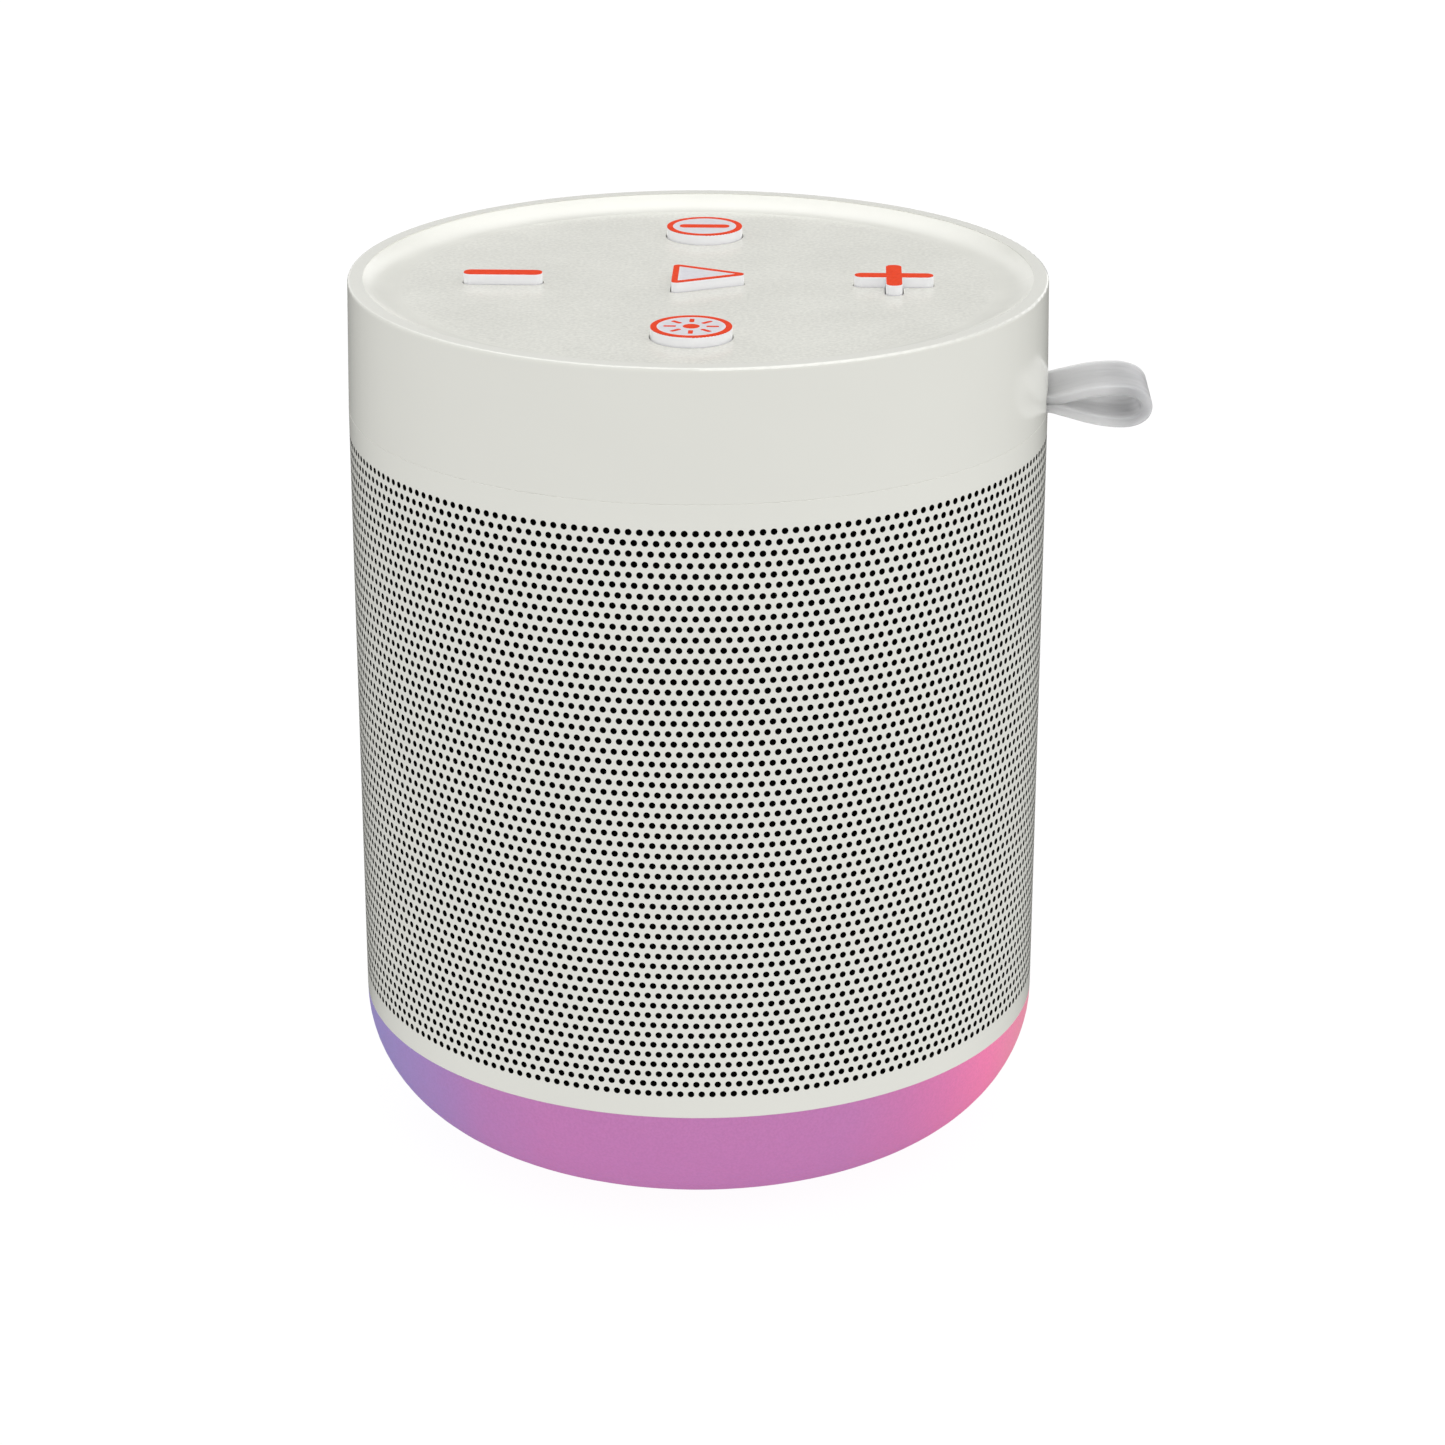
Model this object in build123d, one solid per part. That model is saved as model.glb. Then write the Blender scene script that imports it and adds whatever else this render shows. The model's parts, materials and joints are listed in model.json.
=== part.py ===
"""Cylindrical shower speaker: buttons in a dished top, a perforated grille, a lit base and a carrying loop.

Millimetres. The origin is the middle of the surface that the rubber foot stands on. +Z is up, the driver
faces -Y, the carrying loop leaves at +X and the charging port is at +Y.
"""

from build123d import *
import os
from math import asin, cos, radians, sin, sqrt

# Overall form
BODY_RADIUS = 40.0
TOP_Z = 102.1
PARTING_Z = 87.3
GRILLE_BOTTOM_Z = 15.2
DIFFUSER_BOTTOM_Z = 0.5
TOUCH_GAP = 0.02
MOVING_GAP = 0.3
CUT = 1.0  # how far a cutting solid runs past the face that it opens

# Collar and dished control panel
COLLAR_WALL = 2.0
COLLAR_INNER = BODY_RADIUS - COLLAR_WALL
COLLAR_TOP_RADIUS = 39.7
RIM_ROUND = 0.25
PANEL_Z = 100.72
PANEL_THICKNESS = 1.8
PANEL_UNDER_Z = PANEL_Z - PANEL_THICKNESS
PANEL_FLAT_RADIUS = 34.0
PANEL_EDGE_Z = 102.0
PANEL_SKIRT_Z = 98.9
PANEL_SKIRT_WIDTH = 2.0
LEDGE_HEIGHT = 2.0
LEDGE_INNER = 36.4

# Grille sheet and the cloth behind it
GRILLE_SHEET = 0.4
CLOTH_SHEET = 0.3
CLOTH_GAP = 0.1
CLOTH_OUTER = BODY_RADIUS - GRILLE_SHEET - CLOTH_GAP

# Chassis, the sealed acoustic box
FLANGE_RADIUS = CLOTH_OUTER - CLOTH_SHEET - CLOTH_GAP
FLOOR_THICKNESS = 2.2
FLOOR_TOP_Z = GRILLE_BOTTOM_Z + FLOOR_THICKNESS
LID_BOTTOM_Z = 84.8
CHASSIS_RADIUS = 37.0
CHASSIS_WALL = 2.0
FLAT_Y = 27.0
SKIRT_OUTER = 36.2
SKIRT_WALL = 1.6
SKIRT_BOTTOM_Z = 12.6
LID_POSTS = [(28.0, -12.5), (-28.0, -12.5), (24.0, 19.5), (-24.0, 19.5)]
LID_POST_RADIUS = 2.8
LID_SCREW_LENGTH = 8.0
SPIGOT_OUTER = 35.5
SPIGOT_WALL = 2.0
SPIGOT_LIP_Z = 90.4
SPIGOT_LIP_RADIUS = 37.8
SPIGOT_TOP_Z = 92.2
LID_SEAL_Z = 90.7
LID_SEAL_HEIGHT = 1.2
LID_SEAL_DEPTH = 1.0

# Base: translucent cup, light board, base plate and foot
BASE_ROUND = 14.56
BASE_FLAT_RADIUS = BODY_RADIUS - BASE_ROUND
DIFFUSER_WALL = 2.6
BASE_OPENING = 21.0
PLATE_RADIUS = 24.0
PLATE_THICKNESS = 1.2
PLATE_TOP_Z = 4.0
PLATE_GAP = 0.1
FOOT_RADIUS = 20.0
FOOT_HEIGHT = 1.2
FOOT_ROUND = 0.3
FOOT_GROOVE_OUTER = 14.5
FOOT_GROOVE_INNER = 13.0
FOOT_GROOVE_DEPTH = 0.4
BASE_POST_RADIUS = 3.2
BASE_POST_CIRCLE = 9.0
BASE_POSTS = 3
BASE_SCREW_Z = FOOT_HEIGHT + 1.4
BASE_SCREW_LENGTH = 8.0
LIGHT_BOARD_Z = 11.0
LIGHT_BOARD_THICKNESS = 1.0
LIGHT_BOARD_OUTER = 33.0
LIGHT_BOARD_INNER = 14.0
LIGHT_POST_CIRCLE = 20.0
LIGHT_POST_RADIUS = 2.4
LIGHT_POST_TURN = 60
LIGHT_SCREW_LENGTH = 4.0
LED_COUNT = 12
LED_CIRCLE = 29.0
LED_SIZE = 5.0
LED_HEIGHT = 1.6
LED_CORNER = 0.4
BASE_SEAL_Z = 13.0
BASE_SEAL_HEIGHT = 1.6
BASE_SEAL_OUTER = 37.1

# Screws, all cross head
SCREW_RADIUS = 1.0
SCREW_HEAD_RADIUS = 1.9
SCREW_HEAD_HEIGHT = 1.3
SCREW_EDGE_ROUND = 0.5
SCREW_CROSS_LENGTH = 2.2
SCREW_CROSS_WIDTH = 0.5
SCREW_CROSS_DEPTH = 0.7
SCREW_HEAD_GAP = 0.1
SCREW_HOLE = SCREW_RADIUS + TOUCH_GAP
COUNTERBORE = SCREW_HEAD_RADIUS + 0.2

# Driver and passive radiator, both on one axis across the body
DRIVER_Z = 51.0
FLANGE_OUTER = 24.5
FLANGE_THICKNESS = 1.2
GASKET_THICKNESS = 0.6
CUTOUT_RADIUS = 21.8
CUTOUT_GAP = 0.2
CAGE_DEPTH = 4.0
CAGE_WALL_DEPTH = 3.6
CAGE_SEAT = 1.5
CAGE_SEAT_THICKNESS = 1.0
CAGE_SLOPE_INSET = 0.6
CAGE_LEGS = 4
WINDOW_WIDTH = 11.0
WINDOW_INNER = 9.5
WINDOW_REAR = 1.6
WINDOW_FRONT = 3.0
SURROUND_INNER = 16.6
SURROUND_OUTER = 20.6
SURROUND_THICKNESS = 0.5
CONE_FRONT = FLAT_Y + GASKET_THICKNESS - 0.6
CONE_REAR = 19.0
CONE_NECK = 0.8
CONE_CURVE = (-0.7, 0.4)
CONE_THICKNESS = 0.4
DUST_CAP_RISE = 2.6
COIL_RADIUS = 6.2
COIL_WALL = 0.4
COIL_OVERHANG = 1.2
PLATE_FRONT = 11.0
PLATE_REAR = 9.8
MAGNET_REAR = 4.8
YOKE_REAR = 3.0
MAGNET_RADIUS = 14.0
MAGNET_STEP = 0.5
MAGNET_BORE_GAP = 0.8
POLE_RADIUS = COIL_RADIUS - MOVING_GAP
GAP_RADIUS = COIL_RADIUS + COIL_WALL + MOVING_GAP
SPIDER_OUTER = 11.4
SPIDER_WAVES = 6
SPIDER_LEVEL = PLATE_FRONT + 3.0
SPIDER_WAVE = 0.35
SPIDER_THICKNESS = 0.3
DRIVER_SCREW_CIRCLE = 22.7
DRIVER_SCREW_LENGTH = 5.0
DRIVER_SCREWS = 4
RADIATOR_DISC = 15.4
RADIATOR_THICKNESS = 1.0
WEIGHT_RADIUS = 8.0
WEIGHT_THICKNESS = 2.5
WEIGHT_CHAMFER = 0.6

# Battery, one 18650 cell standing in a cradle
CELL_X = 20.5
CELL_Y = 5.5
CELL_RADIUS = 9.2
CELL_HEIGHT = 65.2
CELL_BOTTOM_Z = 18.6
CELL_EDGE = 0.8
CELL_TIP_RADIUS = 3.0
CELL_TIP_HEIGHT = 0.8
CRADLE_GAP = 0.1
CRADLE_WALL = 1.2
CRADLE_TOP_Z = 26.0

# Main board, its parts and the charging port
BOARD_THICKNESS = 1.6
BOARD_TOP_Z = 93.85
BOARD_BOTTOM_Z = BOARD_TOP_Z - BOARD_THICKNESS
BOARD_RADIUS = 31.5
BOARD_TONGUE = 34.5
BOARD_TONGUE_WIDTH = 16.0
BOARD_POST_CIRCLE = 28.0
BOARD_POST_RADIUS = 2.6
BOARD_POSTS = 4
BOARD_SCREW_LENGTH = 5.0
RADIO_PLACE = (-13.0, -8.0)
RADIO_SIZE = (14.0, 12.0, 2.4)
RADIO_CORNER = 0.6
CHIPS = [(6.0, -14.0, 5.0, 5.0, 1.0), (9.0, 14.0, 4.0, 4.0, 1.0), (3.0, -5.0, 3.0, 1.5, 0.8)]
COIL_PLACES = [(14.0, -6.0), (14.0, -13.0)]
COIL_SIZE = 5.0
COIL_HEIGHT = 2.8
COIL_CORNER = 0.8
CAPACITOR_PLACES = [(-4.0, -20.0), (-11.0, -20.0), (-4.0, 16.0)]
CAPACITOR_RADIUS = 2.2
CAPACITOR_HEIGHT = 4.2
PORT_WIDTH = 8.94
PORT_HEIGHT = 3.26
PORT_WALL = 0.3
PORT_MOUTH_Y = 36.0
PORT_LENGTH = 7.3
PORT_BACK_WALL = 1.0
PORT_CONTACT_WIDTH = 6.6
PORT_CONTACT_THICKNESS = 0.7
PORT_CONTACT_INSET = 1.0
PORT_Z = BOARD_TOP_Z + PORT_HEIGHT / 2
PORT_OPENING_WIDTH = 10.0
PORT_OPENING_HEIGHT = 4.2
PORT_OPENING_CORNER = 1.0
PORT_PAD_Y = 36.6
PORT_PAD_WIDTH = 19.0
PORT_PAD_BOTTOM_Z = 92.4
SLEEVE_WIDTH = 12.4
SLEEVE_HEIGHT = 6.0
SLEEVE_CORNER = 1.4
SLEEVE_LENGTH = 2.2
SLEEVE_BOARD_GAP = 0.1
COVER_WIDTH = 14.4
COVER_HEIGHT = 6.0
COVER_THICKNESS = 1.1
COVER_GAP = 0.2
COVER_CORNER = 1.2
COVER_HINGE_X = 6.6
COVER_TONGUE_WIDTH = 8.0
COVER_TONGUE_HEIGHT = 2.4
COVER_TONGUE_LENGTH = 1.5

# Buttons, in a cross
BUTTON_CIRCLE = 22.2
LIGHT_BUTTON_CIRCLE = 22.45
BUTTON_TOP_Z = 101.9
BUTTON_GAP = 0.14
BUTTON_FLANGE = 0.8
BUTTON_FLANGE_THICKNESS = 0.6
BUTTON_FLANGE_TOP_Z = PANEL_UNDER_Z - 0.05
ROUND_BUTTON_RADIUS = 4.475
BAR_LENGTH = 9.0
PLUS_LENGTH = 9.2
MINUS_WIDTH = 2.15
PLUS_WIDTH = 1.87
BAR_CORNER = 0.9
PLAY_BACK_X = -2.95
PLAY_TIP_X = 5.96
PLAY_HALF_HEIGHT = 4.33
PLAY_CORNER = 0.6
BUTTON_EDGE = 0.12
BUTTON_PLACES = {
    "power": (0.0, BUTTON_CIRCLE),
    "play": (0.0, 0.0),
    "light": (0.0, -LIGHT_BUTTON_CIRCLE),
    "minus": (-BUTTON_CIRCLE, 0.0),
    "plus": (BUTTON_CIRCLE, 0.0),
}
MEMBRANE_THICKNESS = 0.5
MEMBRANE_TOP_Z = BUTTON_FLANGE_TOP_Z - BUTTON_FLANGE_THICKNESS - 0.05
MEMBRANE_RADIUS = 30.0
SWITCH_SIZE = 6.0
SWITCH_HEIGHT = 3.5
PLUNGER_RADIUS = 1.75
PLUNGER_BORE_DEPTH = 1.4
PLUNGER_SEAT = 0.9
PLUNGER_TOP_Z = MEMBRANE_TOP_Z - MEMBRANE_THICKNESS - 0.02

# Carrying loop, a folded silicone ribbon with a bead trapped behind the collar wall
STRAP_WIDTH = 10.8
STRAP_THICKNESS = 1.0
STRAP_Z = 88.35
STRAP_HINGE_X = 42.2
STRAP_ROOT_END_X = 41.0
STRAP_BEAD_X = 35.9
STRAP_BEAD_EXTRA = 1.4
STRAP_BEAD_TOP = 1.9
STRAP_END_X = 51.6
STRAP_SLOT_GAP = 0.05
LOOP_CREST_X = 47.8
LOOP_HALF_HEIGHT = 2.35
LOOP_OPENING_SLOPE = 0.3

# Leads
LEAD_RADIUS = 0.6
LEAD_SPACING = 1.6
GROMMET_RADIUS = 2.8
GROMMET_HEIGHT = 3.4
LIGHT_LEAD_X = -17.0
LIGHT_LEAD_Y = 14.0
SPEAKER_LEAD_X = -9.0
SPEAKER_LEAD_Y = 4.0
TERMINAL_DEPTH = 8.0
TERMINAL_LENGTH = 6.0
TERMINAL_HEIGHT = MAGNET_RADIUS + 0.5
TERMINAL_SLOPE = 1.0
SPEAKER_LEAD_DROP_Z = DRIVER_Z + 24.0
SPEAKER_LEAD_BEND = 4.0


def turned(points):
    """A solid turned round Z from a closed outline of (radius, height) points."""
    outline = Polyline([(r, 0, z) for r, z in points], close=True)
    return revolve(make_face(outline), Axis.Z)


def ring(outer, inner, bottom, top):
    return turned([(inner, bottom), (outer, bottom), (outer, top), (inner, top)])


def disc(radius, bottom, top, x=0.0, y=0.0):
    return Pos(x, y, bottom) * Cylinder(radius, top - bottom, align=(Align.CENTER, Align.CENTER, Align.MIN))


def block(low, high):
    size = [b - a for a, b in zip(low, high)]
    middle = [(a + b) / 2 for a, b in zip(low, high)]
    return Pos(*middle) * Box(*size)


def round_places(count, circle, first=0.0):
    """Evenly spaced (x, y) places on a circle."""
    angles = [radians(first + 360 * k / count) for k in range(count)]
    return [(circle * cos(a), circle * sin(a)) for a in angles]


def screw(length):
    """A pan-head cross screw: head underside at Z 0, shank downwards."""
    body = disc(SCREW_RADIUS, -length, 0) + disc(SCREW_HEAD_RADIUS, 0, SCREW_HEAD_HEIGHT)
    body = fillet(body.edges().group_by(Axis.Z)[-1], SCREW_EDGE_ROUND)
    slot = Box(SCREW_CROSS_LENGTH, SCREW_CROSS_WIDTH, 2 * SCREW_CROSS_DEPTH)
    slot += Box(SCREW_CROSS_WIDTH, SCREW_CROSS_LENGTH, 2 * SCREW_CROSS_DEPTH)
    return body - Pos(0, 0, SCREW_HEAD_HEIGHT) * slot


def group(pieces):
    return Compound(children=[p.solid() for p in pieces])


def front(piece):
    """Turns a piece made round +Z so that +Z faces the front, at the driver's height."""
    return Pos(0, 0, DRIVER_Z) * Rot(90, 0, 0) * piece


def rear(piece):
    return Pos(0, 0, DRIVER_Z) * Rot(-90, 0, 0) * piece


# Outer shell


def dish_arc_radius():
    run = COLLAR_INNER - PANEL_FLAT_RADIUS
    rise = PANEL_EDGE_Z - PANEL_Z
    return (run**2 + rise**2) / (2 * rise)


def control_panel():
    """Flat panel that curves up to the rim, with an opening for each button."""
    radius = dish_arc_radius()
    half_turn = asin((COLLAR_INNER - PANEL_FLAT_RADIUS) / radius) / 2
    middle = (PANEL_FLAT_RADIUS + radius * sin(half_turn), 0, PANEL_Z + radius * (1 - cos(half_turn)))
    flat_end = (PANEL_FLAT_RADIUS, 0, PANEL_Z)
    rim_end = (COLLAR_INNER, 0, PANEL_EDGE_Z)
    skirt = COLLAR_INNER - PANEL_SKIRT_WIDTH
    under = Polyline(
        rim_end,
        (COLLAR_INNER, 0, PANEL_SKIRT_Z),
        (skirt, 0, PANEL_SKIRT_Z),
        (skirt, 0, PANEL_UNDER_Z),
        (0, 0, PANEL_UNDER_Z),
        (0, 0, PANEL_Z),
        flat_end,
    )
    panel = revolve(make_face([ThreePointArc(flat_end, middle, rim_end), *under.edges()]), Axis.Z)
    for name, (x, y) in BUTTON_PLACES.items():
        opening = extrude(offset(button_outline(name), BUTTON_GAP), 2 * PANEL_THICKNESS)
        panel -= Pos(x, y, PANEL_UNDER_Z - PANEL_THICKNESS / 2) * opening
    return panel


def collar_radius(z):
    """The collar's outer face leans in a little towards the top."""
    return BODY_RADIUS - (BODY_RADIUS - COLLAR_TOP_RADIUS) * (z - PARTING_Z) / (TOP_Z - PARTING_Z)


def under_collar_face(depth):
    """Everything inside the collar's outer face that is at least this deep under it."""
    low, high = BODY_RADIUS - depth, COLLAR_TOP_RADIUS - depth
    return turned([(0, PARTING_Z), (low, PARTING_Z), (high, TOP_Z), (0, TOP_Z)])


def collar():
    """Upper wall with the panel's ledge, the loop's slot and the charging port's pocket."""
    wall = under_collar_face(0) - disc(COLLAR_INNER, PARTING_Z, TOP_Z)
    wall = fillet(wall.edges().group_by(Axis.Z)[-1].sort_by(SortBy.RADIUS)[-1], RIM_ROUND)
    wall += ring(COLLAR_INNER, LEDGE_INNER, PANEL_SKIRT_Z - LEDGE_HEIGHT, PANEL_SKIRT_Z)
    pad_low = (-PORT_PAD_WIDTH / 2, PORT_PAD_Y, PORT_PAD_BOTTOM_Z)
    pad_high = (PORT_PAD_WIDTH / 2, COLLAR_INNER + COLLAR_WALL / 2, PANEL_SKIRT_Z)
    pad = block(pad_low, pad_high) & disc(COLLAR_INNER + COLLAR_WALL / 2, PORT_PAD_BOTTOM_Z, PANEL_SKIRT_Z)
    wall += pad
    half_slot = STRAP_WIDTH / 2 + STRAP_SLOT_GAP
    slot_top = STRAP_Z + STRAP_THICKNESS + STRAP_SLOT_GAP
    wall -= block((STRAP_BEAD_X, -half_slot, PARTING_Z - CUT), (BODY_RADIUS + CUT, half_slot, slot_top))
    wall -= port_pocket()
    wall -= port_prism(PORT_OPENING_WIDTH, PORT_OPENING_HEIGHT, PORT_OPENING_CORNER)
    sleeve = RectangleRounded(SLEEVE_WIDTH + TOUCH_GAP, SLEEVE_HEIGHT + TOUCH_GAP, SLEEVE_CORNER)
    return wall - rearward(sleeve, PORT_PAD_Y - 2 * SLEEVE_LENGTH, PORT_PAD_Y)


def port_prism(width, height, corner):
    """A rounded bar along Y through the rear wall, at the charging port."""
    return rearward(RectangleRounded(width, height, corner), PORT_PAD_Y - CUT, BODY_RADIUS + CUT)


def port_pocket():
    """Room for the flap: rounded at its free end and square at its hinge."""
    height = COVER_HEIGHT + 2 * COVER_GAP
    low = (COVER_HINGE_X - COVER_THICKNESS, PORT_PAD_Y, PORT_Z - height / 2)
    high = (COVER_WIDTH / 2 + COVER_GAP, BODY_RADIUS + CUT, PORT_Z + height / 2)
    pocket = port_prism(COVER_WIDTH + 2 * COVER_GAP, height, COVER_CORNER + COVER_GAP) + block(low, high)
    return pocket - under_collar_face(COVER_THICKNESS + COVER_GAP)


def rearward(outline, start_y, end_y):
    """Extrudes an outline drawn in X and Z, centred on the port, along Y."""
    return Pos(0, start_y, PORT_Z) * Rot(-90, 0, 0) * extrude(outline, end_y - start_y)


def port_cover():
    """Silicone flap that follows the collar, with a tongue for the port and a round hinge edge."""
    depth = collar_radius(PORT_Z) - COVER_THICKNESS
    shell = under_collar_face(0) - under_collar_face(COVER_THICKNESS)
    left = -COVER_WIDTH / 2
    plate = shell & port_prism(COVER_WIDTH, COVER_HEIGHT, COVER_CORNER)
    plate &= block((left, 0, PARTING_Z), (COVER_HINGE_X, BODY_RADIUS + CUT, TOP_Z))
    edge = Pos(COVER_HINGE_X, cover_hinge_y(), PORT_Z) * Cylinder(COVER_THICKNESS / 2, COVER_HEIGHT)
    tongue_low = (-COVER_TONGUE_WIDTH / 2, depth - COVER_TONGUE_LENGTH, PORT_Z - COVER_TONGUE_HEIGHT / 2)
    tongue_high = (COVER_TONGUE_WIDTH / 2, depth + COVER_THICKNESS / 2, PORT_Z + COVER_TONGUE_HEIGHT / 2)
    return plate + edge + block(tongue_low, tongue_high)


def cover_hinge_y():
    middle = collar_radius(PORT_Z) - COVER_THICKNESS / 2
    return sqrt(middle**2 - COVER_HINGE_X**2)


def grille():
    """Perforated sheet tube, here without its holes."""
    return ring(BODY_RADIUS, BODY_RADIUS - GRILLE_SHEET, GRILLE_BOTTOM_Z, PARTING_Z)


def acoustic_cloth():
    return ring(CLOTH_OUTER, CLOTH_OUTER - CLOTH_SHEET, GRILLE_BOTTOM_Z + CLOTH_GAP, PARTING_Z - CLOTH_GAP)


# Buttons


def button_outline(name):
    if name in ("power", "light"):
        return Circle(ROUND_BUTTON_RADIUS)
    if name == "minus":
        return RectangleRounded(BAR_LENGTH, MINUS_WIDTH, BAR_CORNER)
    if name == "plus":
        across = RectangleRounded(BAR_LENGTH, PLUS_WIDTH, BAR_CORNER)
        return across + RectangleRounded(PLUS_WIDTH, PLUS_LENGTH, BAR_CORNER)
    corners = [(PLAY_BACK_X, PLAY_HALF_HEIGHT), (PLAY_BACK_X, -PLAY_HALF_HEIGHT), (PLAY_TIP_X, 0)]
    triangle = make_face(Polyline(corners, close=True))
    return fillet(triangle.vertices(), PLAY_CORNER)


def button(name):
    """A cap with a softened top edge, on a flange that stops it under the panel."""
    x, y = BUTTON_PLACES[name]
    outline = button_outline(name)
    flange_bottom = BUTTON_FLANGE_TOP_Z - BUTTON_FLANGE_THICKNESS
    cap = extrude(outline, BUTTON_TOP_Z - flange_bottom)
    cap = fillet(cap.edges().group_by(Axis.Z)[-1], BUTTON_EDGE)
    flange = extrude(offset(outline, BUTTON_FLANGE), BUTTON_FLANGE_THICKNESS)
    return Pos(x, y, flange_bottom) * (cap + flange)


def button_membrane():
    """Silicone sheet that seals the openings, between the buttons and the switches' plungers."""
    return disc(MEMBRANE_RADIUS, MEMBRANE_TOP_Z - MEMBRANE_THICKNESS, MEMBRANE_TOP_Z)


def tact_switches():
    bore = PLUNGER_RADIUS + 0.05
    bodies = []
    for x, y in BUTTON_PLACES.values():
        half = SWITCH_SIZE / 2
        top = BOARD_TOP_Z + SWITCH_HEIGHT
        body = block((x - half, y - half, BOARD_TOP_Z), (x + half, y + half, top))
        bodies.append(body - disc(bore, top - PLUNGER_BORE_DEPTH, top + CUT, x, y))
    return group(bodies)


def plunger(name):
    x, y = BUTTON_PLACES[name]
    return disc(PLUNGER_RADIUS, BOARD_TOP_Z + SWITCH_HEIGHT - PLUNGER_SEAT, PLUNGER_TOP_Z, x, y)


# Carrying loop


def strap_root():
    """Bead behind the wall and the doubled ribbon as far as it is gripped."""
    half = STRAP_WIDTH / 2
    stub = block(
        (STRAP_BEAD_X, -half, STRAP_Z - STRAP_THICKNESS), (STRAP_ROOT_END_X, half, STRAP_Z + STRAP_THICKNESS)
    )
    reach = half + STRAP_BEAD_EXTRA
    bead = block(
        (STRAP_BEAD_X, -reach, STRAP_Z - STRAP_THICKNESS),
        (COLLAR_INNER, reach, STRAP_Z + STRAP_BEAD_TOP),
    )
    return stub + (bead & disc(COLLAR_INNER - STRAP_SLOT_GAP, PARTING_Z, SPIGOT_LIP_Z))


def loop_outline(grow):
    """Teardrop, from the hinge out to the fold and back, grown about the ribbon's middle."""
    start = STRAP_THICKNESS / 2 + grow
    crest = LOOP_HALF_HEIGHT - STRAP_THICKNESS / 2 + grow
    end_x = STRAP_END_X - STRAP_THICKNESS / 2 + grow
    points = [(STRAP_HINGE_X, 0, start), (LOOP_CREST_X, 0, crest), (end_x, 0, 0)]
    upper = Spline(*points, tangents=[(1, 0, LOOP_OPENING_SLOPE), (0, 0, -1)])
    lower = mirror(upper, Plane.XY)
    back = Line((STRAP_HINGE_X, 0, -start), (STRAP_HINGE_X, 0, start))
    return make_face([*upper.edges(), *lower.edges(), back])


def strap_loop():
    """The free part of the ribbon: a teardrop loop on a round root that the bend turns about."""
    half = STRAP_WIDTH / 2
    outer = extrude(loop_outline(STRAP_THICKNESS / 2), half, both=True)
    inner = extrude(loop_outline(-STRAP_THICKNESS / 2 + TOUCH_GAP), half + CUT, both=True)
    root = Pos(STRAP_HINGE_X, 0, 0) * Rot(90, 0, 0) * Cylinder(STRAP_THICKNESS, STRAP_WIDTH)
    return Pos(0, 0, STRAP_Z) * (outer - inner + root)


# Chassis and lid


def chassis():
    """Acoustic box with a flat front and rear, its floor flange, posts and the skirt into the base."""
    body = disc(CHASSIS_RADIUS, FLOOR_TOP_Z, LID_BOTTOM_Z)
    body &= block((-BODY_RADIUS, -FLAT_Y, 0), (BODY_RADIUS, FLAT_Y, TOP_Z))
    inside = disc(CHASSIS_RADIUS - CHASSIS_WALL, FLOOR_TOP_Z, LID_BOTTOM_Z)
    inner_flat = FLAT_Y - CHASSIS_WALL
    inside &= block((-BODY_RADIUS, -inner_flat, 0), (BODY_RADIUS, inner_flat, TOP_Z))
    body -= inside
    for x, y in LID_POSTS:
        body += disc(LID_POST_RADIUS, FLOOR_TOP_Z, LID_BOTTOM_Z, x, y)
    body += disc(FLANGE_RADIUS, GRILLE_BOTTOM_Z, FLOOR_TOP_Z)
    body += ring(SKIRT_OUTER, SKIRT_OUTER - SKIRT_WALL, SKIRT_BOTTOM_Z, GRILLE_BOTTOM_Z)
    board_top = LIGHT_BOARD_Z + LIGHT_BOARD_THICKNESS
    for x, y in round_places(BASE_POSTS, BASE_POST_CIRCLE):
        body += disc(BASE_POST_RADIUS, PLATE_TOP_Z, GRILLE_BOTTOM_Z, x, y)
        body -= disc(SCREW_HOLE, PLATE_TOP_Z, GRILLE_BOTTOM_Z, x, y)
    for x, y in light_post_places():
        body += disc(LIGHT_POST_RADIUS, board_top, GRILLE_BOTTOM_Z, x, y)
        body -= disc(SCREW_HOLE, board_top, FLOOR_TOP_Z - CUT, x, y)
    for x, y in LID_POSTS:
        body -= disc(SCREW_HOLE, LID_BOTTOM_Z - LID_SCREW_LENGTH, LID_BOTTOM_Z, x, y)
    cutout = disc(CUTOUT_RADIUS, FLAT_Y - 2 * CHASSIS_WALL, FLAT_Y + CUT)
    pilot = disc(SCREW_HOLE, FLAT_Y - CHASSIS_WALL - CUT, FLAT_Y + CUT)
    for side in (front, rear):
        body -= side(cutout)
        for x, y in driver_screw_places():
            body -= side(Pos(x, y, 0) * pilot)
    return body - disc(GROMMET_RADIUS, GRILLE_BOTTOM_Z, FLOOR_TOP_Z, LIGHT_LEAD_X, LIGHT_LEAD_Y)


def board_post_places():
    return round_places(BOARD_POSTS, BOARD_POST_CIRCLE, 45)


def light_post_places():
    return round_places(BASE_POSTS, LIGHT_POST_CIRCLE, LIGHT_POST_TURN)


def driver_screw_places():
    return round_places(DRIVER_SCREWS, DRIVER_SCREW_CIRCLE, 45)


def lead_places():
    """Middle of each bundle of leads where it passes the lid."""
    return [(LIGHT_LEAD_X, LIGHT_LEAD_Y), (SPEAKER_LEAD_X, SPEAKER_LEAD_Y), (CELL_X, CELL_Y)]


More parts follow.
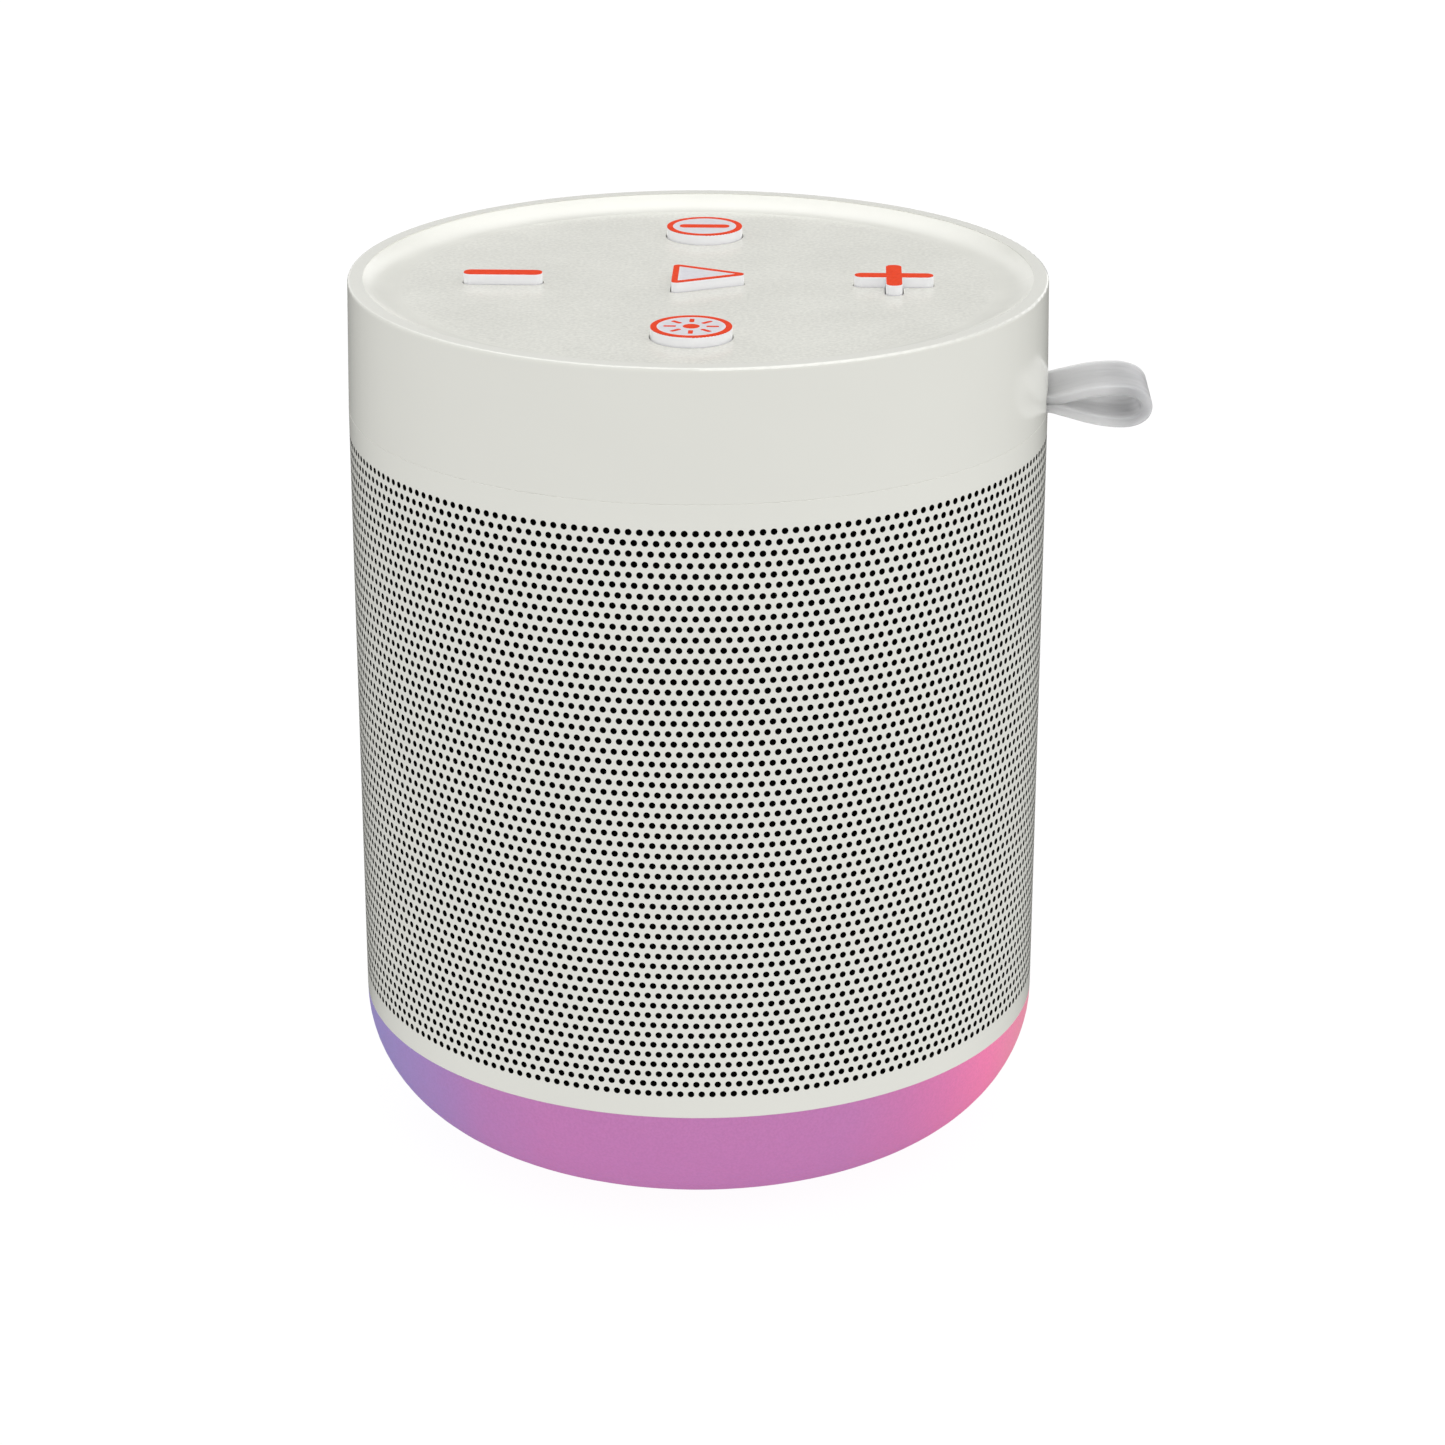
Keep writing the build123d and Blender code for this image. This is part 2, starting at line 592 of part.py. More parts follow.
def chassis_lid():
    """Top flange, the spigot that the collar pushes over, and posts for the main board."""
    lid = disc(FLANGE_RADIUS, LID_BOTTOM_Z, PARTING_Z)
    lid += ring(SPIGOT_OUTER, SPIGOT_OUTER - SPIGOT_WALL, PARTING_Z, SPIGOT_TOP_Z)
    lid += ring(SPIGOT_LIP_RADIUS, SPIGOT_OUTER, SPIGOT_LIP_Z, SPIGOT_TOP_Z)
    groove = SPIGOT_LIP_RADIUS - LID_SEAL_DEPTH
    lid -= ring(SPIGOT_LIP_RADIUS + CUT, groove, LID_SEAL_Z, LID_SEAL_Z + LID_SEAL_HEIGHT)
    for x, y in board_post_places():
        lid += disc(BOARD_POST_RADIUS, PARTING_Z, BOARD_BOTTOM_Z, x, y)
        lid -= disc(SCREW_HOLE, PARTING_Z, BOARD_BOTTOM_Z, x, y)
    for x, y in LID_POSTS:
        lid -= disc(SCREW_HOLE, LID_BOTTOM_Z, PARTING_Z, x, y)
        lid -= disc(COUNTERBORE, PARTING_Z - SCREW_HEAD_HEIGHT - SCREW_HEAD_GAP, PARTING_Z, x, y)
    for x, y in lead_places():
        lid -= disc(GROMMET_RADIUS, LID_BOTTOM_Z, PARTING_Z, x, y)
    return lid


def lid_seal():
    groove = SPIGOT_LIP_RADIUS - LID_SEAL_DEPTH
    return ring(COLLAR_INNER - TOUCH_GAP, groove, LID_SEAL_Z, LID_SEAL_Z + LID_SEAL_HEIGHT)


def lid_screws():
    return screws(LID_POSTS, PARTING_Z - SCREW_HEAD_HEIGHT - SCREW_HEAD_GAP, LID_SCREW_LENGTH)


def grommet(bottom, x, y, count):
    """Rubber sleeve round a bundle of leads."""
    sleeve = disc(GROMMET_RADIUS - TOUCH_GAP, bottom, bottom + GROMMET_HEIGHT, x, y)
    for lead_x in bundle(x, count):
        sleeve -= disc(LEAD_RADIUS + TOUCH_GAP, bottom - CUT, bottom + GROMMET_HEIGHT + CUT, lead_x, y)
    return sleeve


def bundle(x, count):
    return [x + LEAD_SPACING * (k - (count - 1) / 2) for k in range(count)]


def lead_grommets():
    bottom = (LID_BOTTOM_Z + PARTING_Z - GROMMET_HEIGHT) / 2
    counts = [3, 2, 2]
    sleeves = [grommet(bottom, x, y, n) for (x, y), n in zip(lead_places(), counts)]
    floor = (GRILLE_BOTTOM_Z + FLOOR_TOP_Z - GROMMET_HEIGHT) / 2
    return group(sleeves + [grommet(floor, LIGHT_LEAD_X, LIGHT_LEAD_Y, 3)])


# Base


def quarter_round(radius, top_radius):
    """Arc from the flat bottom out to the side wall, about the base's corner centre."""
    centre_z = DIFFUSER_BOTTOM_Z + BASE_ROUND
    low = (BASE_FLAT_RADIUS, 0, centre_z - radius)
    middle = (BASE_FLAT_RADIUS + radius * sin(radians(45)), 0, centre_z - radius * cos(radians(45)))
    return ThreePointArc(low, middle, (top_radius, 0, centre_z))


def diffuser():
    """Translucent cup with a rounded lower edge and an opening for the base plate."""
    inner_radius = BASE_ROUND - DIFFUSER_WALL
    inner_top = BASE_FLAT_RADIUS + inner_radius
    centre_z = DIFFUSER_BOTTOM_Z + BASE_ROUND
    step_z = DIFFUSER_BOTTOM_Z + PLATE_THICKNESS
    outer = quarter_round(BASE_ROUND, BODY_RADIUS)
    inner = quarter_round(inner_radius, inner_top)
    top = Polyline(
        (BODY_RADIUS, 0, centre_z),
        (BODY_RADIUS, 0, GRILLE_BOTTOM_Z),
        (inner_top, 0, GRILLE_BOTTOM_Z),
        (inner_top, 0, centre_z),
    )
    bottom = Polyline(
        (BASE_FLAT_RADIUS, 0, centre_z - inner_radius),
        (BASE_OPENING, 0, centre_z - inner_radius),
        (BASE_OPENING, 0, step_z),
        (PLATE_RADIUS + TOUCH_GAP, 0, step_z),
        (PLATE_RADIUS + TOUCH_GAP, 0, DIFFUSER_BOTTOM_Z),
        (BASE_FLAT_RADIUS, 0, DIFFUSER_BOTTOM_Z),
    )
    return revolve(make_face([outer, *top.edges(), inner, *bottom.edges()]), Axis.Z)


def base_plate():
    """Bottom cover with the foot's recess and counterbored screw holes."""
    plate_top = DIFFUSER_BOTTOM_Z + PLATE_THICKNESS
    plate = disc(PLATE_RADIUS, DIFFUSER_BOTTOM_Z, plate_top)
    plate += disc(BASE_OPENING - PLATE_GAP, plate_top, PLATE_TOP_Z)
    plate -= disc(FOOT_RADIUS + TOUCH_GAP, 0, FOOT_HEIGHT)
    for x, y in round_places(BASE_POSTS, BASE_POST_CIRCLE):
        plate -= disc(SCREW_HOLE, 0, PLATE_TOP_Z, x, y)
        plate -= disc(COUNTERBORE, 0, BASE_SCREW_Z, x, y)
    return plate


def screws(places, z, length, turn=0.0):
    """Equal screws with their heads' undersides at z, turned over where turn is 180."""
    return group([Pos(x, y, z) * Rot(turn, 0, 0) * screw(length) for x, y in places])


def base_screws():
    return screws(round_places(BASE_POSTS, BASE_POST_CIRCLE), BASE_SCREW_Z, BASE_SCREW_LENGTH, turn=180)


def foot_pad():
    """Rubber foot that covers the base screws, with rounded edges and a groove in its face."""
    foot = disc(FOOT_RADIUS, 0, FOOT_HEIGHT)
    foot -= ring(FOOT_GROOVE_OUTER, FOOT_GROOVE_INNER, 0, FOOT_GROOVE_DEPTH)
    outer_edge = foot.edges().group_by(Axis.Z)[0].sort_by(SortBy.RADIUS)[-1]
    return fillet(outer_edge, FOOT_ROUND)


def base_seal():
    return ring(BASE_SEAL_OUTER, SKIRT_OUTER, BASE_SEAL_Z, BASE_SEAL_Z + BASE_SEAL_HEIGHT)


def light_board():
    top = LIGHT_BOARD_Z + LIGHT_BOARD_THICKNESS
    board = ring(LIGHT_BOARD_OUTER, LIGHT_BOARD_INNER, LIGHT_BOARD_Z, top)
    for x, y in light_post_places():
        board -= disc(SCREW_HOLE, LIGHT_BOARD_Z, top, x, y)
    return board


def light_board_screws():
    return screws(light_post_places(), LIGHT_BOARD_Z, LIGHT_SCREW_LENGTH, turn=180)


def leds():
    package = Box(LED_SIZE, LED_SIZE, LED_HEIGHT)
    package = fillet(package.edges().filter_by(Axis.Z), LED_CORNER)
    placed = Pos(LED_CIRCLE, 0, LIGHT_BOARD_Z - LED_HEIGHT / 2) * package
    return group([Rot(0, 0, 360 * (k + 0.5) / LED_COUNT) * placed for k in range(LED_COUNT)])


# Driver, made round +Z and turned to the front


def driver_gasket():
    return front(screw_ring(FLAT_Y, FLAT_Y + GASKET_THICKNESS))


def screw_ring(back, face, inner=CUTOUT_RADIUS):
    """A flange ring with four screw holes."""
    flange = ring(FLANGE_OUTER, inner, back, face)
    for x, y in driver_screw_places():
        flange -= disc(SCREW_HOLE, back, face, x, y)
    return flange


def driver_frame():
    """Flange, four sloping legs and the seat of the magnet."""
    back = FLAT_Y + GASKET_THICKNESS
    flange = screw_ring(back, back + FLANGE_THICKNESS, SURROUND_OUTER)
    seat_top = PLATE_FRONT + CAGE_SEAT_THICKNESS
    cage = turned([
        (SURROUND_OUTER, back),
        (CUTOUT_RADIUS - CUTOUT_GAP, back),
        (CUTOUT_RADIUS - CUTOUT_GAP, back - CAGE_DEPTH),
        (MAGNET_RADIUS, PLATE_FRONT),
        (GAP_RADIUS + CAGE_SEAT, PLATE_FRONT),
        (GAP_RADIUS + CAGE_SEAT, seat_top),
        (MAGNET_RADIUS - CAGE_SLOPE_INSET, seat_top),
        (SURROUND_OUTER, back - CAGE_WALL_DEPTH),
    ])
    window_low = (-WINDOW_WIDTH / 2, WINDOW_INNER, PLATE_FRONT + WINDOW_REAR)
    window_high = (WINDOW_WIDTH / 2, FLANGE_OUTER, back - WINDOW_FRONT)
    for k in range(CAGE_LEGS):
        cage -= Rot(0, 0, 360 * k / CAGE_LEGS) * block(window_low, window_high)
    return front(flange + cage)


def driver_screws(side):
    face = FLAT_Y + GASKET_THICKNESS + FLANGE_THICKNESS
    return group([side(Pos(x, y, face) * screw(DRIVER_SCREW_LENGTH)) for x, y in driver_screw_places()])


def driver_top_plate():
    return front(ring(MAGNET_RADIUS - MAGNET_STEP, GAP_RADIUS, PLATE_REAR, PLATE_FRONT))


def driver_magnet():
    return front(ring(MAGNET_RADIUS, GAP_RADIUS + MAGNET_BORE_GAP, MAGNET_REAR, PLATE_REAR))


def driver_yoke():
    plate = disc(MAGNET_RADIUS - MAGNET_STEP, YOKE_REAR, MAGNET_REAR)
    return front(plate + disc(POLE_RADIUS, MAGNET_REAR, PLATE_FRONT))


def voice_coil():
    return front(ring(COIL_RADIUS + COIL_WALL, COIL_RADIUS, PLATE_REAR - COIL_OVERHANG, CONE_REAR))


def driver_cone():
    """Curved-side cone from the coil out to the surround."""
    outer = COIL_RADIUS + COIL_WALL
    curve_x, curve_z = CONE_CURVE
    start = (outer, 0, CONE_REAR - CONE_NECK)
    end = (SURROUND_INNER, 0, CONE_FRONT)
    bulge = ((start[0] + end[0]) / 2 + curve_x, 0, (start[2] + end[2]) / 2 + curve_z)
    face_start = (outer, 0, CONE_REAR - CONE_NECK + 2 * CONE_THICKNESS)
    face_end = (SURROUND_INNER, 0, CONE_FRONT + CONE_THICKNESS)
    face_bulge = (bulge[0] - CONE_THICKNESS / 2, 0, bulge[2] + CONE_THICKNESS)
    outline = [
        ThreePointArc(start, bulge, end),
        Line(end, face_end),
        ThreePointArc(face_end, face_bulge, face_start),
        Line(face_start, start),
    ]
    return front(revolve(make_face(outline), Axis.Z))


def domed_shell(radius, base, rise, thickness):
    """A thin spherical cap over a circle, its edge at height base."""
    sphere = (radius**2 + rise**2) / (2 * rise)
    centre_z = base + rise - sphere
    shell = Pos(0, 0, centre_z) * (Sphere(sphere) - Sphere(sphere - thickness))
    return shell & disc(radius, base, base + rise + CUT)


def driver_dust_cap():
    return front(domed_shell(COIL_RADIUS + COIL_WALL, CONE_REAR, DUST_CAP_RISE, CONE_THICKNESS))


def half_roll(inner, outer, base, thickness):
    """Half-round rubber roll between two radii, bulging outwards."""
    middle = (inner + outer) / 2
    roll = (outer - inner) / 2 - thickness
    face, back = roll + thickness / 2, roll - thickness / 2
    low = base - thickness
    outline = [
        Line((inner, 0, base), (middle - face, 0, base)),
        ThreePointArc((middle - face, 0, base), (middle, 0, base + face), (middle + face, 0, base)),
        Line((middle + face, 0, base), (outer, 0, base)),
        Line((outer, 0, base), (outer, 0, low)),
        Line((outer, 0, low), (middle + back, 0, low)),
        ThreePointArc((middle + back, 0, low), (middle, 0, low + roll), (middle - back, 0, low)),
        Line((middle - back, 0, low), (inner, 0, low)),
        Line((inner, 0, low), (inner, 0, base)),
    ]
    return revolve(make_face(outline), Axis.Z)


def driver_surround():
    base = CONE_FRONT + CONE_THICKNESS
    return front(half_roll(SURROUND_INNER + TOUCH_GAP, SURROUND_OUTER - TOUCH_GAP, base, SURROUND_THICKNESS))


def driver_spider():
    """Corrugated centring disc between the coil and the frame's legs."""
    inner = COIL_RADIUS + COIL_WALL + TOUCH_GAP
    pitch = (SPIDER_OUTER - inner) / SPIDER_WAVES
    steps = [(inner + pitch * k, SPIDER_LEVEL + SPIDER_WAVE * (-1) ** k) for k in range(SPIDER_WAVES + 1)]
    return front(turned(steps + [(r, z + SPIDER_THICKNESS) for r, z in reversed(steps)]))


# Passive radiator, made round +Z and turned to the rear


def radiator_gasket():
    return rear(screw_ring(FLAT_Y, FLAT_Y + GASKET_THICKNESS))


def radiator_frame():
    back = FLAT_Y + GASKET_THICKNESS
    flange = screw_ring(back, back + FLANGE_THICKNESS, SURROUND_OUTER)
    return rear(flange + ring(CUTOUT_RADIUS - CUTOUT_GAP, SURROUND_OUTER, FLAT_Y - CHASSIS_WALL, back))


def radiator_surround():
    base = FLAT_Y + GASKET_THICKNESS
    return rear(half_roll(RADIATOR_DISC + TOUCH_GAP, SURROUND_OUTER - TOUCH_GAP, base, SURROUND_THICKNESS))


def radiator_disc():
    base = FLAT_Y + GASKET_THICKNESS
    return rear(disc(RADIATOR_DISC, base - RADIATOR_THICKNESS, base))


def radiator_weight():
    base = FLAT_Y + GASKET_THICKNESS - RADIATOR_THICKNESS
    weight = disc(WEIGHT_RADIUS, base - WEIGHT_THICKNESS, base)
    return rear(chamfer(weight.edges().group_by(Axis.Z)[0], WEIGHT_CHAMFER))


# Battery and electronics


def battery_cell():
    top = CELL_BOTTOM_Z + CELL_HEIGHT
    shoulder = top - CELL_TIP_HEIGHT
    cell = disc(CELL_RADIUS, CELL_BOTTOM_Z, shoulder, CELL_X, CELL_Y)
    cell = fillet(cell.edges().group_by(Axis.Z)[-1], CELL_EDGE)
    return cell + disc(CELL_TIP_RADIUS, shoulder, top, CELL_X, CELL_Y)


def battery_cradle():
    """Cup that stands on the chassis floor and holds the cell's lower end."""
    bore = CELL_RADIUS + CRADLE_GAP
    cup = disc(bore + CRADLE_WALL, FLOOR_TOP_Z, CRADLE_TOP_Z, CELL_X, CELL_Y)
    return cup - disc(bore, CELL_BOTTOM_Z, CRADLE_TOP_Z + CUT, CELL_X, CELL_Y)


def main_board():
    """Round board under the buttons, with a tongue that carries the charging port."""
    board = disc(BOARD_RADIUS, BOARD_BOTTOM_Z, BOARD_TOP_Z)
    half = BOARD_TONGUE_WIDTH / 2
    board += block((-half, 0.0, BOARD_BOTTOM_Z), (half, BOARD_TONGUE, BOARD_TOP_Z))
    for x, y in board_post_places():
        board -= disc(SCREW_HOLE, BOARD_BOTTOM_Z, BOARD_TOP_Z, x, y)
    return board


def board_screws():
    return screws(board_post_places(), BOARD_TOP_Z, BOARD_SCREW_LENGTH)


def charging_port():
    """Oval metal shell with its contact tongue inside."""
    corner = port_corner()
    back = PORT_MOUTH_Y - PORT_LENGTH
    shell = RectangleRounded(PORT_WIDTH, PORT_HEIGHT, corner)
    mouth = RectangleRounded(PORT_WIDTH - 2 * PORT_WALL, PORT_HEIGHT - 2 * PORT_WALL, corner - PORT_WALL)
    body = rearward(shell, back, PORT_MOUTH_Y) - rearward(mouth, back + PORT_BACK_WALL, PORT_MOUTH_Y + CUT)
    half_width, half_height = PORT_CONTACT_WIDTH / 2, PORT_CONTACT_THICKNESS / 2
    low = (-half_width, back + PORT_BACK_WALL / 2, PORT_Z - half_height)
    high = (half_width, PORT_MOUTH_Y - PORT_CONTACT_INSET, PORT_Z + half_height)
    return body + block(low, high)


def port_corner():
    """Corner radius of the port's oval shell, just short of half its height."""
    return PORT_HEIGHT / 2 - TOUCH_GAP / 2


def port_seal():
    """Silicone sleeve between the port's shell and the collar's opening."""
    start = PORT_PAD_Y - SLEEVE_LENGTH
    end = PORT_PAD_Y - TOUCH_GAP
    outer = RectangleRounded(SLEEVE_WIDTH, SLEEVE_HEIGHT, SLEEVE_CORNER)
    inner = RectangleRounded(PORT_WIDTH + 2 * TOUCH_GAP, PORT_HEIGHT + 2 * TOUCH_GAP, port_corner())
    sleeve = rearward(outer, start, end) - rearward(inner, start - CUT, end + CUT)
    half = BOARD_TONGUE_WIDTH / 2 + SLEEVE_BOARD_GAP
    return sleeve - block((-half, 0, 0), (half, BOARD_TONGUE + TOUCH_GAP, BOARD_TOP_Z))


def radio_module():
    """Shielded wireless module under the board."""
    can = Pos(*RADIO_PLACE, BOARD_BOTTOM_Z - RADIO_SIZE[2] / 2) * Box(*RADIO_SIZE)
    return fillet(can.edges().filter_by(Axis.Z), RADIO_CORNER)


def board_parts():
    """Amplifier, charger chip, two coils and three capacitors under the board."""
    pieces = []
    for x, y, width, depth, height in CHIPS:
        pieces.append(Pos(x, y, BOARD_BOTTOM_Z - height / 2) * Box(width, depth, height))
    for x, y in COIL_PLACES:
        coil = Pos(x, y, BOARD_BOTTOM_Z - COIL_HEIGHT / 2) * Box(COIL_SIZE, COIL_SIZE, COIL_HEIGHT)
        pieces.append(fillet(coil.edges().filter_by(Axis.Z), COIL_CORNER))
    for x, y in CAPACITOR_PLACES:
        pieces.append(disc(CAPACITOR_RADIUS, BOARD_BOTTOM_Z - CAPACITOR_HEIGHT, BOARD_BOTTOM_Z, x, y))
    return group(pieces)


def straight_leads(x, y, bottom, top, count):
    return group([disc(LEAD_RADIUS, bottom, top, lead_x, y) for lead_x in bundle(x, count)])


def light_leads():
    board_top = LIGHT_BOARD_Z + LIGHT_BOARD_THICKNESS
    return straight_leads(LIGHT_LEAD_X, LIGHT_LEAD_Y, board_top, BOARD_BOTTOM_Z, 3)


def battery_leads():
    return straight_leads(CELL_X, CELL_Y, CELL_BOTTOM_Z + CELL_HEIGHT, BOARD_BOTTOM_Z, 2)


def speaker_leads():
    """Two wires from the main board down and forward to the driver frame's terminals."""
    wires = []
    end_z = DRIVER_Z + TERMINAL_HEIGHT
    for x in bundle(SPEAKER_LEAD_X, 2):
        path = FilletPolyline(
            (x, SPEAKER_LEAD_Y, BOARD_BOTTOM_Z),
            (x, SPEAKER_LEAD_Y, SPEAKER_LEAD_DROP_Z),
            (x, -TERMINAL_DEPTH, end_z + TERMINAL_SLOPE),
            (x, -TERMINAL_DEPTH - TERMINAL_LENGTH, end_z),
            radius=SPEAKER_LEAD_BEND,
        )
        wires.append(sweep(Plane(path @ 0, z_dir=path % 0) * Circle(LEAD_RADIUS), path))
    return group(wires)


def parts():
    """Every sub-part by node name."""
    made = {
        "collar": collar(),
        "control_panel": control_panel(),
        "port_cover": port_cover(),
        "grille": grille(),
        "acoustic_cloth": acoustic_cloth(),
        "button_membrane": button_membrane(),
        "tact_switches": tact_switches(),
        "strap_root": strap_root(),
        "strap_loop": strap_loop(),
        "chassis": chassis(),
        "chassis_lid": chassis_lid(),
        "lid_seal": lid_seal(),
        "lid_screws": lid_screws(),
        "lead_grommets": lead_grommets(),
        "diffuser": diffuser(),
        "base_plate": base_plate(),
        "base_screws": base_screws(),
        "foot_pad": foot_pad(),
        "base_seal": base_seal(),
        "light_board": light_board(),
        "light_board_screws": light_board_screws(),
        "leds": leds(),
        "driver_gasket": driver_gasket(),
        "driver_frame": driver_frame(),
        "driver_screws": driver_screws(front),
        "driver_top_plate": driver_top_plate(),
        "driver_magnet": driver_magnet(),
        "driver_yoke": driver_yoke(),
        "voice_coil": voice_coil(),
        "driver_cone": driver_cone(),
        "driver_dust_cap": driver_dust_cap(),
        "driver_surround": driver_surround(),
        "driver_spider": driver_spider(),
        "radiator_gasket": radiator_gasket(),
        "radiator_frame": radiator_frame(),
        "radiator_screws": driver_screws(rear),
        "radiator_surround": radiator_surround(),
        "radiator_disc": radiator_disc(),
        "radiator_weight": radiator_weight(),
        "battery_cell": battery_cell(),
        "battery_cradle": battery_cradle(),
        "main_board": main_board(),
        "board_screws": board_screws(),
        "charging_port": charging_port(),
        "port_seal": port_seal(),
        "radio_module": radio_module(),
        "board_parts": board_parts(),
        "light_leads": light_leads(),
        "battery_leads": battery_leads(),
        "speaker_leads": speaker_leads(),
    }
    for name in BUTTON_PLACES:
        made[f"{name}_button"] = button(name)
        made[f"{name}_plunger"] = plunger(name)
    return made


os.makedirs("parts", exist_ok=True)
for node, piece in parts().items():
    export_step(piece, f"parts/{node}.step")
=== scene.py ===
"""Looks, light and camera for the shower speaker, in metres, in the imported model's frame."""

import json
from math import cos, hypot, pi, radians, sin, tan

import bpy
import numpy as np
from mathutils import Euler, Matrix, Vector


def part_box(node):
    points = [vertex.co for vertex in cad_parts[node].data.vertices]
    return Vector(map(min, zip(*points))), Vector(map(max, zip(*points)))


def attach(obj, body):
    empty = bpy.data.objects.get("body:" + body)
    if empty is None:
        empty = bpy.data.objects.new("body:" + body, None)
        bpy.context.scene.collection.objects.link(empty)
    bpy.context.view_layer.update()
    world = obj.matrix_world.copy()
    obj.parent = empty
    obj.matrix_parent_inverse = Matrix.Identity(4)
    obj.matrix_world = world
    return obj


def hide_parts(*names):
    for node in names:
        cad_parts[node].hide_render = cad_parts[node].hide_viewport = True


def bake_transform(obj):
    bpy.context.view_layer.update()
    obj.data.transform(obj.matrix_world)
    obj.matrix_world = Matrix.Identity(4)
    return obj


MM = 0.001

# Camera: angles in degrees
CAMERA_AZIMUTH = 1.96
CAMERA_DISTANCE = 441.3 * MM
CAMERA_HEIGHT = 217.11 * MM
CAMERA_HEADING = 1.596
CAMERA_PITCH = 21.045
CAMERA_ROLL = 0.06
CAMERA_LENS = 99.49
CAMERA_SENSOR = 36.0

# Grille sheet: the turn is in radians
HOLES_ROUND = 210
HALF_PITCH = pi / HOLES_ROUND
HOLE_ROWS = 56
ROWS_PER_BAND = 14
HOLE_RADIUS = 0.375 * MM
HOLE_SIDES = 12
TOP_BORDER = 3.25 * MM
BOTTOM_BORDER = 3.0 * MM
GRILLE_TURN = -0.0037
SHEET_THICKNESS = 0.4 * MM
SHEET_CHAMFER = 0.07 * MM

# Carrying loop
RIBBON_GRIPPED = 1.0 * MM
RIBBON_THICKNESS = 1.2 * MM
RIBBON_EDGE_ROUND = 0.32 * MM
RIBBON_CREST_X = 47.9 * MM
RIBBON_CREST = 1.88 * MM
RIBBON_RISE_X = 40.1 * MM
RIBBON_RISE = 0.22 * MM
RIBBON_RISE_HANDLES = (0.28, 0.45)
RIBBON_TIP_HANDLE = 0.62
RIBBON_RISE_STEPS = 26
RIBBON_TIP_STEPS = 18
RIBBON_SWELL = 1.5 * MM
RIBBON_BURIED = 1.9 * MM
RIBBON_DROOP = 0.2 * MM

# Button caps and their print
CAP_FLANGE = 0.8 * MM
PRINT_PROUD = 0.02 * MM
FACE_PROUD = 0.01 * MM
PRINT_SINK = 0.08 * MM
RING_INSET = 0.02 * MM
BAR_INSET = 0.04 * MM
RING_WIDTH = 0.72 * MM
FACE_MARGIN = 0.26 * MM
PLAY_CORNERS = [(-2.95 * MM, 4.33 * MM), (-2.95 * MM, -4.33 * MM), (5.96 * MM, 0.0)]
PLAY_CORNER_RADIUS = 0.6 * MM
BAR_CORNER_RADIUS = 0.9 * MM
PLUS_BAR = 1.87 * MM
POWER_BAR_LENGTH = 5.9 * MM
POWER_BAR_WIDTH = 1.6 * MM
POWER_BAR_ROUND = 0.42 * POWER_BAR_WIDTH
SUN_RADIUS = 0.93 * MM
RAY_INNER = 1.65 * MM
RAY_OUTER = 3.02 * MM
RAY_WIDTH = 0.53 * MM
RAY_ROUND = 0.3 * RAY_WIDTH
RAYS = 8
ARC_STEPS = 8
CIRCLE_STEPS = 96
SUN_STEPS = 40
LEAST_TURN = 0.1 * MM

# Edges sharper than these angles, in degrees, aren't shaded smooth
SHARP_ANGLE = 30
RIBBON_SHARP_ANGLE = 60

# Materials: the noise used here lies mostly between these two values
NOISE_LOW = 0.3
NOISE_HIGH = 0.7
MOTTLE_SIZE = 18 * MM
# Collar: its colour runs between these shades, with slow mottling and a painted highlight that pales it
# just under the rim
SHELL_SHADES_AND_RIM_HIGHLIGHT = (0.975, 1.06)
SHELL_MOTTLE = 0.2
# Painted highlight: the collar starts to pale this far under the rim's top, is palest this far under it,
# over this part of its shades
RIM_HIGHLIGHT_START = 0.6 * MM
RIM_HIGHLIGHT_FULL = 0.2 * MM
RIM_PAINTED_HIGHLIGHT = (0.25, 0.55)
PANEL_SHADES = (0.90, 1.10)
PANEL_FLAT_RADIUS = 34.0 * MM
PANEL_GRAIN_FADE = 1 * MM
PANEL_GRAIN_SIZE = 0.4 * MM
PANEL_GRAIN_SHARE = 0.8
PANEL_GRAIN_DEPTH = 0.006 * MM
DIFFUSER_GLOW = (0.58, 0.66)
DIFFUSER_CLOUD = 0.10
DIFFUSER_UNLIT = 0.40
# Carrying loop: painted shade, darkening its colour between these two places along the loop, by these
# amounts
RIBBON_FOLD_SHADE_START = 45 * MM
RIBBON_FOLD_SHADE_END = 49.5 * MM
RIBBON_FOLD_PAINTED_SHADE = (0.25, -0.1)
RIBBON_STREAKS = 0.4
RIBBON_BASE_SHADE = 0.25
CLOTH_THREAD = 0.22 * MM
SPIDER_THREAD = 0.4 * MM
COIL_WIRE = 0.16 * MM
TRACE_SPACING = (1.6 * MM, 2.4 * MM)
TRACE_EDGE = (0.72, 0.78)

# Stage: angles up the wall as sines, strips as (start, full, low, high) along an axis of the room
GLOSS_LOW = 0.45
GLOSS_HIGH = 5.0
GLOSS_START = sin(radians(18))
GLOSS_FULL = sin(radians(80))
GLOSS_RIGHT_STRIP = (0.05, 0.19, 0.0, 1.3)
GLOSS_LEFT_STRIP = (-0.09, -0.22, 0.0, 0.7)
GLOSS_STRIP_DEPTH = (0.82, 0.92, 0.0, 1.0)
FLOOR_GLOSS = 0.05
FLOOR_GLOW = 0.94
FLOOR_TINT = (0.09, 0.10)
FLOOR_FIBRES = 40.0
SIDE_BIAS = 0.15
FLOOR_SIZE = 6.0
FLOOR_Z = -0.02 * MM


